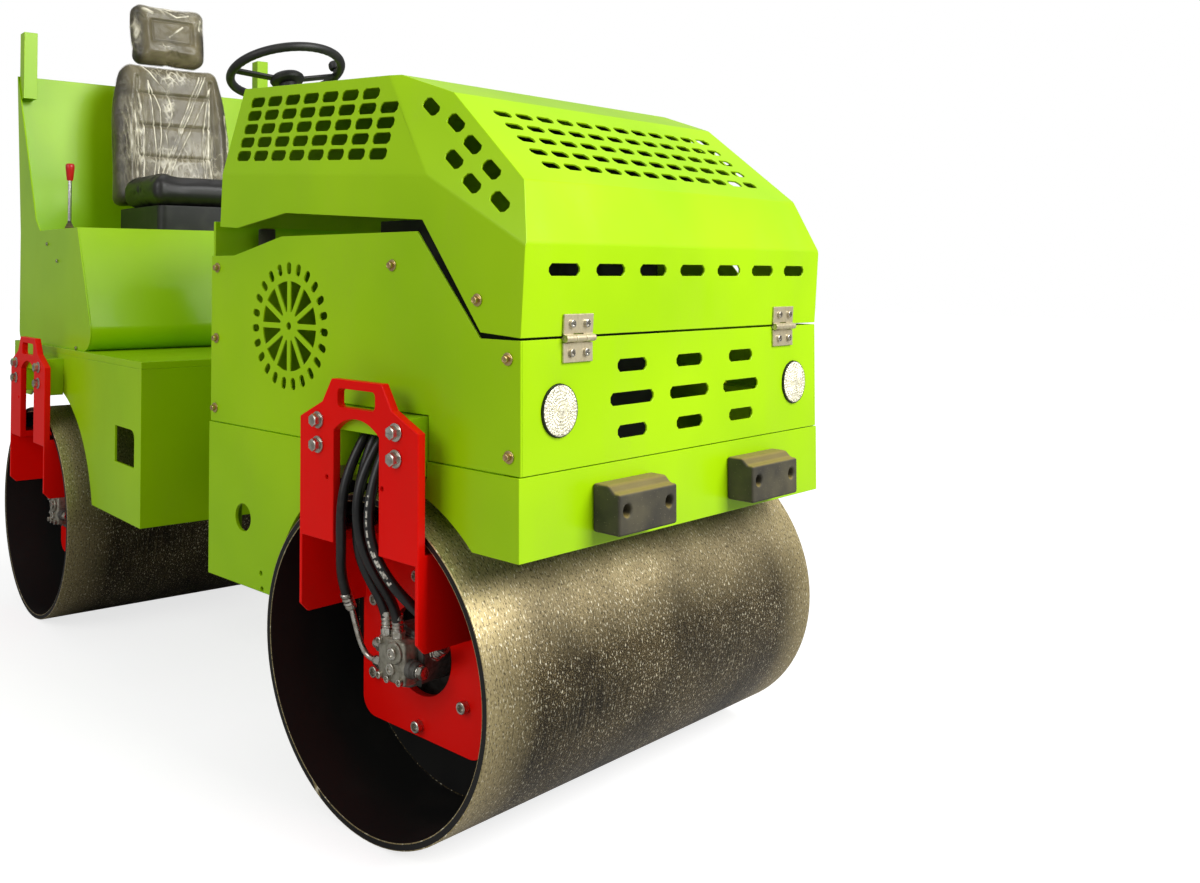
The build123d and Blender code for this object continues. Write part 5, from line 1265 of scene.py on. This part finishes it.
def pull_film(pad, name, stand, size, lines, crumples):
    """A sheet of film over a pad's front: the pad's skin set off from it, creased along lines and crumpled."""
    film = add_piece(name, pad.data.copy())
    film.data.materials.clear()
    film.data.materials.append(film_clear)
    inverse = stand.inverted()
    alone(film)
    bpy.ops.object.mode_set(mode="EDIT")
    bpy.ops.mesh.select_mode(type="VERT")
    bpy.ops.mesh.select_all(action="DESELECT")
    mesh = bmesh.from_edit_mesh(film.data)
    for vertex in mesh.verts:
        vertex.select = (inverse @ vertex.co).x < -FILM_BACK * size[0]
    bmesh.update_edit_mesh(film.data)
    bpy.ops.mesh.delete(type="VERT")
    bpy.ops.mesh.select_all(action="SELECT")
    bpy.ops.mesh.subdivide(number_cuts=1, smoothness=0.6)
    bpy.ops.object.mode_set(mode="OBJECT")
    crease_and_highlight_mark = film.data.attributes.new("crease_and_highlight", "FLOAT", "POINT")
    veil_mark = film.data.attributes.new("veil", "FLOAT", "POINT")
    normals = [vertex.normal.copy() for vertex in film.data.vertices]
    for vertex, normal in zip(film.data.vertices, normals):
        at = inverse @ vertex.co
        patch = 0.5 + 0.9 * noise.noise(at * 16 + Vector((4, 4, 4)))
        pulled = creased(at, lines)
        folds = crumpled(at, size, crumples) * max(0.0, min(1.0, patch + 0.6))
        # This mark carries the painted highlight of the creases and folds.
        crease_and_highlight_mark.data[vertex.index].value = min(1.0, max(pulled, folds))
        bare_edge = 1 - 0.8 * bell(abs(at.y / (size[1] / 2)), 0.90, 0.13)
        veil_mark.data[vertex.index].value = FILM_VEIL * bare_edge * max(0.4, 0.75 + 0.5 * patch)
        ripple = noise.noise(at * 45)
        vertex.co += normal * (FILM_OFF + CREASE_UP * pulled + FOLD_UP * folds + RIPPLE_UP * ripple)
    bpy.ops.object.shade_smooth()
    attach(film, "rear_frame")


pull_film(backrest, "backrest_film", back_stand, BACK_SIZE, BACK_PULLS, BACK_CRUMPLES)
pull_film(headrest, "headrest_film", head_stand, HEAD_SIZE, HEAD_PULLS, HEAD_CRUMPLES)

# Seat base: a tub moulded in black plastic, with a fine grain and a little dust. It stands on slides under the
# cushion.
PLASTIC = (0.012, 0.012, 0.012, 1)
PLASTIC_DARK = (0.010, 0.010, 0.010, 1)
PLASTIC_DUST = (0.026, 0.025, 0.022, 1)
BASE_EASE = 0.004
black_plastic = two_toned(
    "black_plastic", PLASTIC, 0.5, (20.0, 5.0, 0.45, 0.75), PLASTIC_DARK, PLASTIC_DUST, (650.0, 2.0, 0.25, 0.0005)
)
eased("seat_base", BASE_EASE, black_plastic, 3)

# Steering console: a folded sheet box in the body's lime, with the steering column in a black plastic shroud that
# leans back to the driver.
WHEEL_CENTRE = (-1.070, -0.040, 1.787)
WHEEL_TILT = radians(17.5)
COLUMN_R = 0.030
console = eased("console", SHEET_EASE, lime_enamel)
console.data.materials.append(black_plastic)
column_top = rear_place @ Vector(WHEEL_CENTRE)
column_line = rear_place.to_3x3() @ Vector((-sin(WHEEL_TILT), 0, cos(WHEEL_TILT)))
for face in console.data.polygons:
    corners = [console.data.vertices[index].co - column_top for index in face.vertices]
    if max(corner.cross(column_line).length for corner in corners) < COLUMN_R:
        face.material_index = 1

# Steering wheel: a plastic rim with finger grips inside, on two flat dished spokes. It has a domed boss, and a
# spinner knob for turning it with one hand.
RIM_R = 0.174
GRIP_R = 0.014
GRIPS = 48
GRIP_DEEP = 0.10
KNOB_ANGLE = radians(83)
SPOKES = 2
SPOKE_SIZE = (RIM_R, 0.026, 0.010)
SPOKE_MIDDLE = (RIM_R / 2, 0, -0.002)
SPOKE_EASE = 0.0035
DISH = 0.026
BOSS = (
    (0, -0.039), (0.040, -0.039), (0.050, -0.034), (0.054, -0.026), (0.053, -0.020), (0.046, -0.013),
    (0.030, -0.008), (0, -0.006),
)
KNOB = (
    (0, 0.004), (0.009, 0.004), (0.009, 0.018), (0.017, 0.021), (0.020, 0.028), (0.020, 0.040), (0.016, 0.046),
    (0.008, 0.048), (0, 0.048),
)
wheel_place = rear_place @ Matrix.Translation(WHEEL_CENTRE) @ Matrix.Rotation(-WHEEL_TILT, 4, "Y")
bpy.ops.object.select_all(action="DESELECT")
bpy.ops.mesh.primitive_torus_add(major_radius=RIM_R, minor_radius=GRIP_R, major_segments=96, minor_segments=20)
wheel = bpy.context.object
wheel.name = "steering_wheel_rim"
for vertex in wheel.data.vertices:
    turn = atan2(vertex.co.y, vertex.co.x)
    inside = max(0.0, 1 - hypot(vertex.co.x, vertex.co.y) / RIM_R) * RIM_R / GRIP_R
    middle = Vector((RIM_R * cos(turn), RIM_R * sin(turn), 0))
    grip = 1 - GRIP_DEEP * inside * (0.5 + 0.5 * cos(turn * GRIPS))
    vertex.co = middle + (vertex.co - middle) * grip
wheel.data.materials.append(black_plastic)
bpy.ops.object.shade_smooth()
wheel_parts = [wheel]
for arm in range(SPOKES):
    spoke = eased_bar(SPOKE_MIDDLE, SPOKE_SIZE, SPOKE_EASE)
    for vertex in spoke.data.vertices:
        vertex.co.z -= DISH * max(0.0, 1 - vertex.co.x / RIM_R)
    spoke.data.transform(Matrix.Rotation(KNOB_ANGLE + 2 * pi * arm / SPOKES, 4, "Z"))
    spoke.data.materials.append(black_plastic)
    bpy.ops.object.shade_smooth_by_angle(angle=EASE_ANGLE)
    wheel_parts.append(spoke)
boss = turned("boss", BOSS, black_plastic, 40)
knob = turned("knob", KNOB, black_plastic, 28)
knob.data.transform(Matrix.Translation((RIM_R * cos(KNOB_ANGLE), RIM_R * sin(KNOB_ANGLE), 0)))
joined([*wheel_parts, boss, knob])
wheel.data.transform(wheel_place)
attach(wheel, "steering_wheel")
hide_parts("steering_wheel")

# Control lever: a bright chromed rod with a tapered red plastic knob. It stands in a ribbed rubber boot on the seat
# box.
LEVER_FOOT = (-1.833, -0.468, 1.305)
CHROME = (0.75, 0.74, 0.72, 1)
CHROME_STAIN = (0.40, 0.38, 0.34, 1)
KNOB_RED = (0.55, 0.006, 0.004, 1)
KNOB_BRIGHT = (0.60, 0.008, 0.005, 1)
KNOB_DARK = (0.45, 0.004, 0.003, 1)
LEVER_ROD = ((0, 0.006), (0.006, 0.006), (0.006, 0.176), (0, 0.176))
LEVER_KNOB = (
    (0, 0.170), (0.009, 0.170), (0.011, 0.174), (0.0155, 0.216), (0.0155, 0.223), (0.012, 0.229), (0, 0.230),
)
LEVER_BOOT = (
    (0, 0.0), (0.018, 0.0), (0.018, 0.004), (0.0145, 0.007), (0.0155, 0.010), (0.011, 0.014), (0.012, 0.017),
    (0.0075, 0.022), (0.006, 0.030), (0, 0.030),
)
chrome = plated("lever_chrome", CHROME, CHROME_STAIN, 0.3, 0.12)
red_plastic = two_toned("red_plastic", KNOB_RED, 0.3, (60.0, 3.0, 0.0, 1.0), KNOB_BRIGHT, KNOB_DARK)
lever_parts = [
    turned("lever_rod", LEVER_ROD, chrome, 20),
    turned("lever_knob", LEVER_KNOB, red_plastic, 28),
    turned("lever_boot", LEVER_BOOT, moulded_rubber, 28),
]
for part in lever_parts:
    part.data.transform(rear_place @ Matrix.Translation(LEVER_FOOT))
lever = joined(lever_parts)
lever.name = "control_lever_dressed"
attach(lever, "rear_frame")
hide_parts("control_lever")

# Wing rivets: small round-headed fasteners in clear zinc, with a socket in the head. They hold the wings to the seat
# box.
RIVETS = ((-1.907, 1.256), (-1.795, 1.196), (-2.085, 0.901), (-1.591, 0.911))
WING_FACE = 0.521
rivet = socket_screw(clear_zinc, 0.006, 0.004)
for side, side_name in SIDES:
    spots = [facing((x, side * WING_FACE, z), (0, side, 0), rear_place) for x, z in RIVETS]
    set_out(rivet, spots, f"wing_rivets_{side_name}", "rear_frame")
bpy.data.objects.remove(rivet)
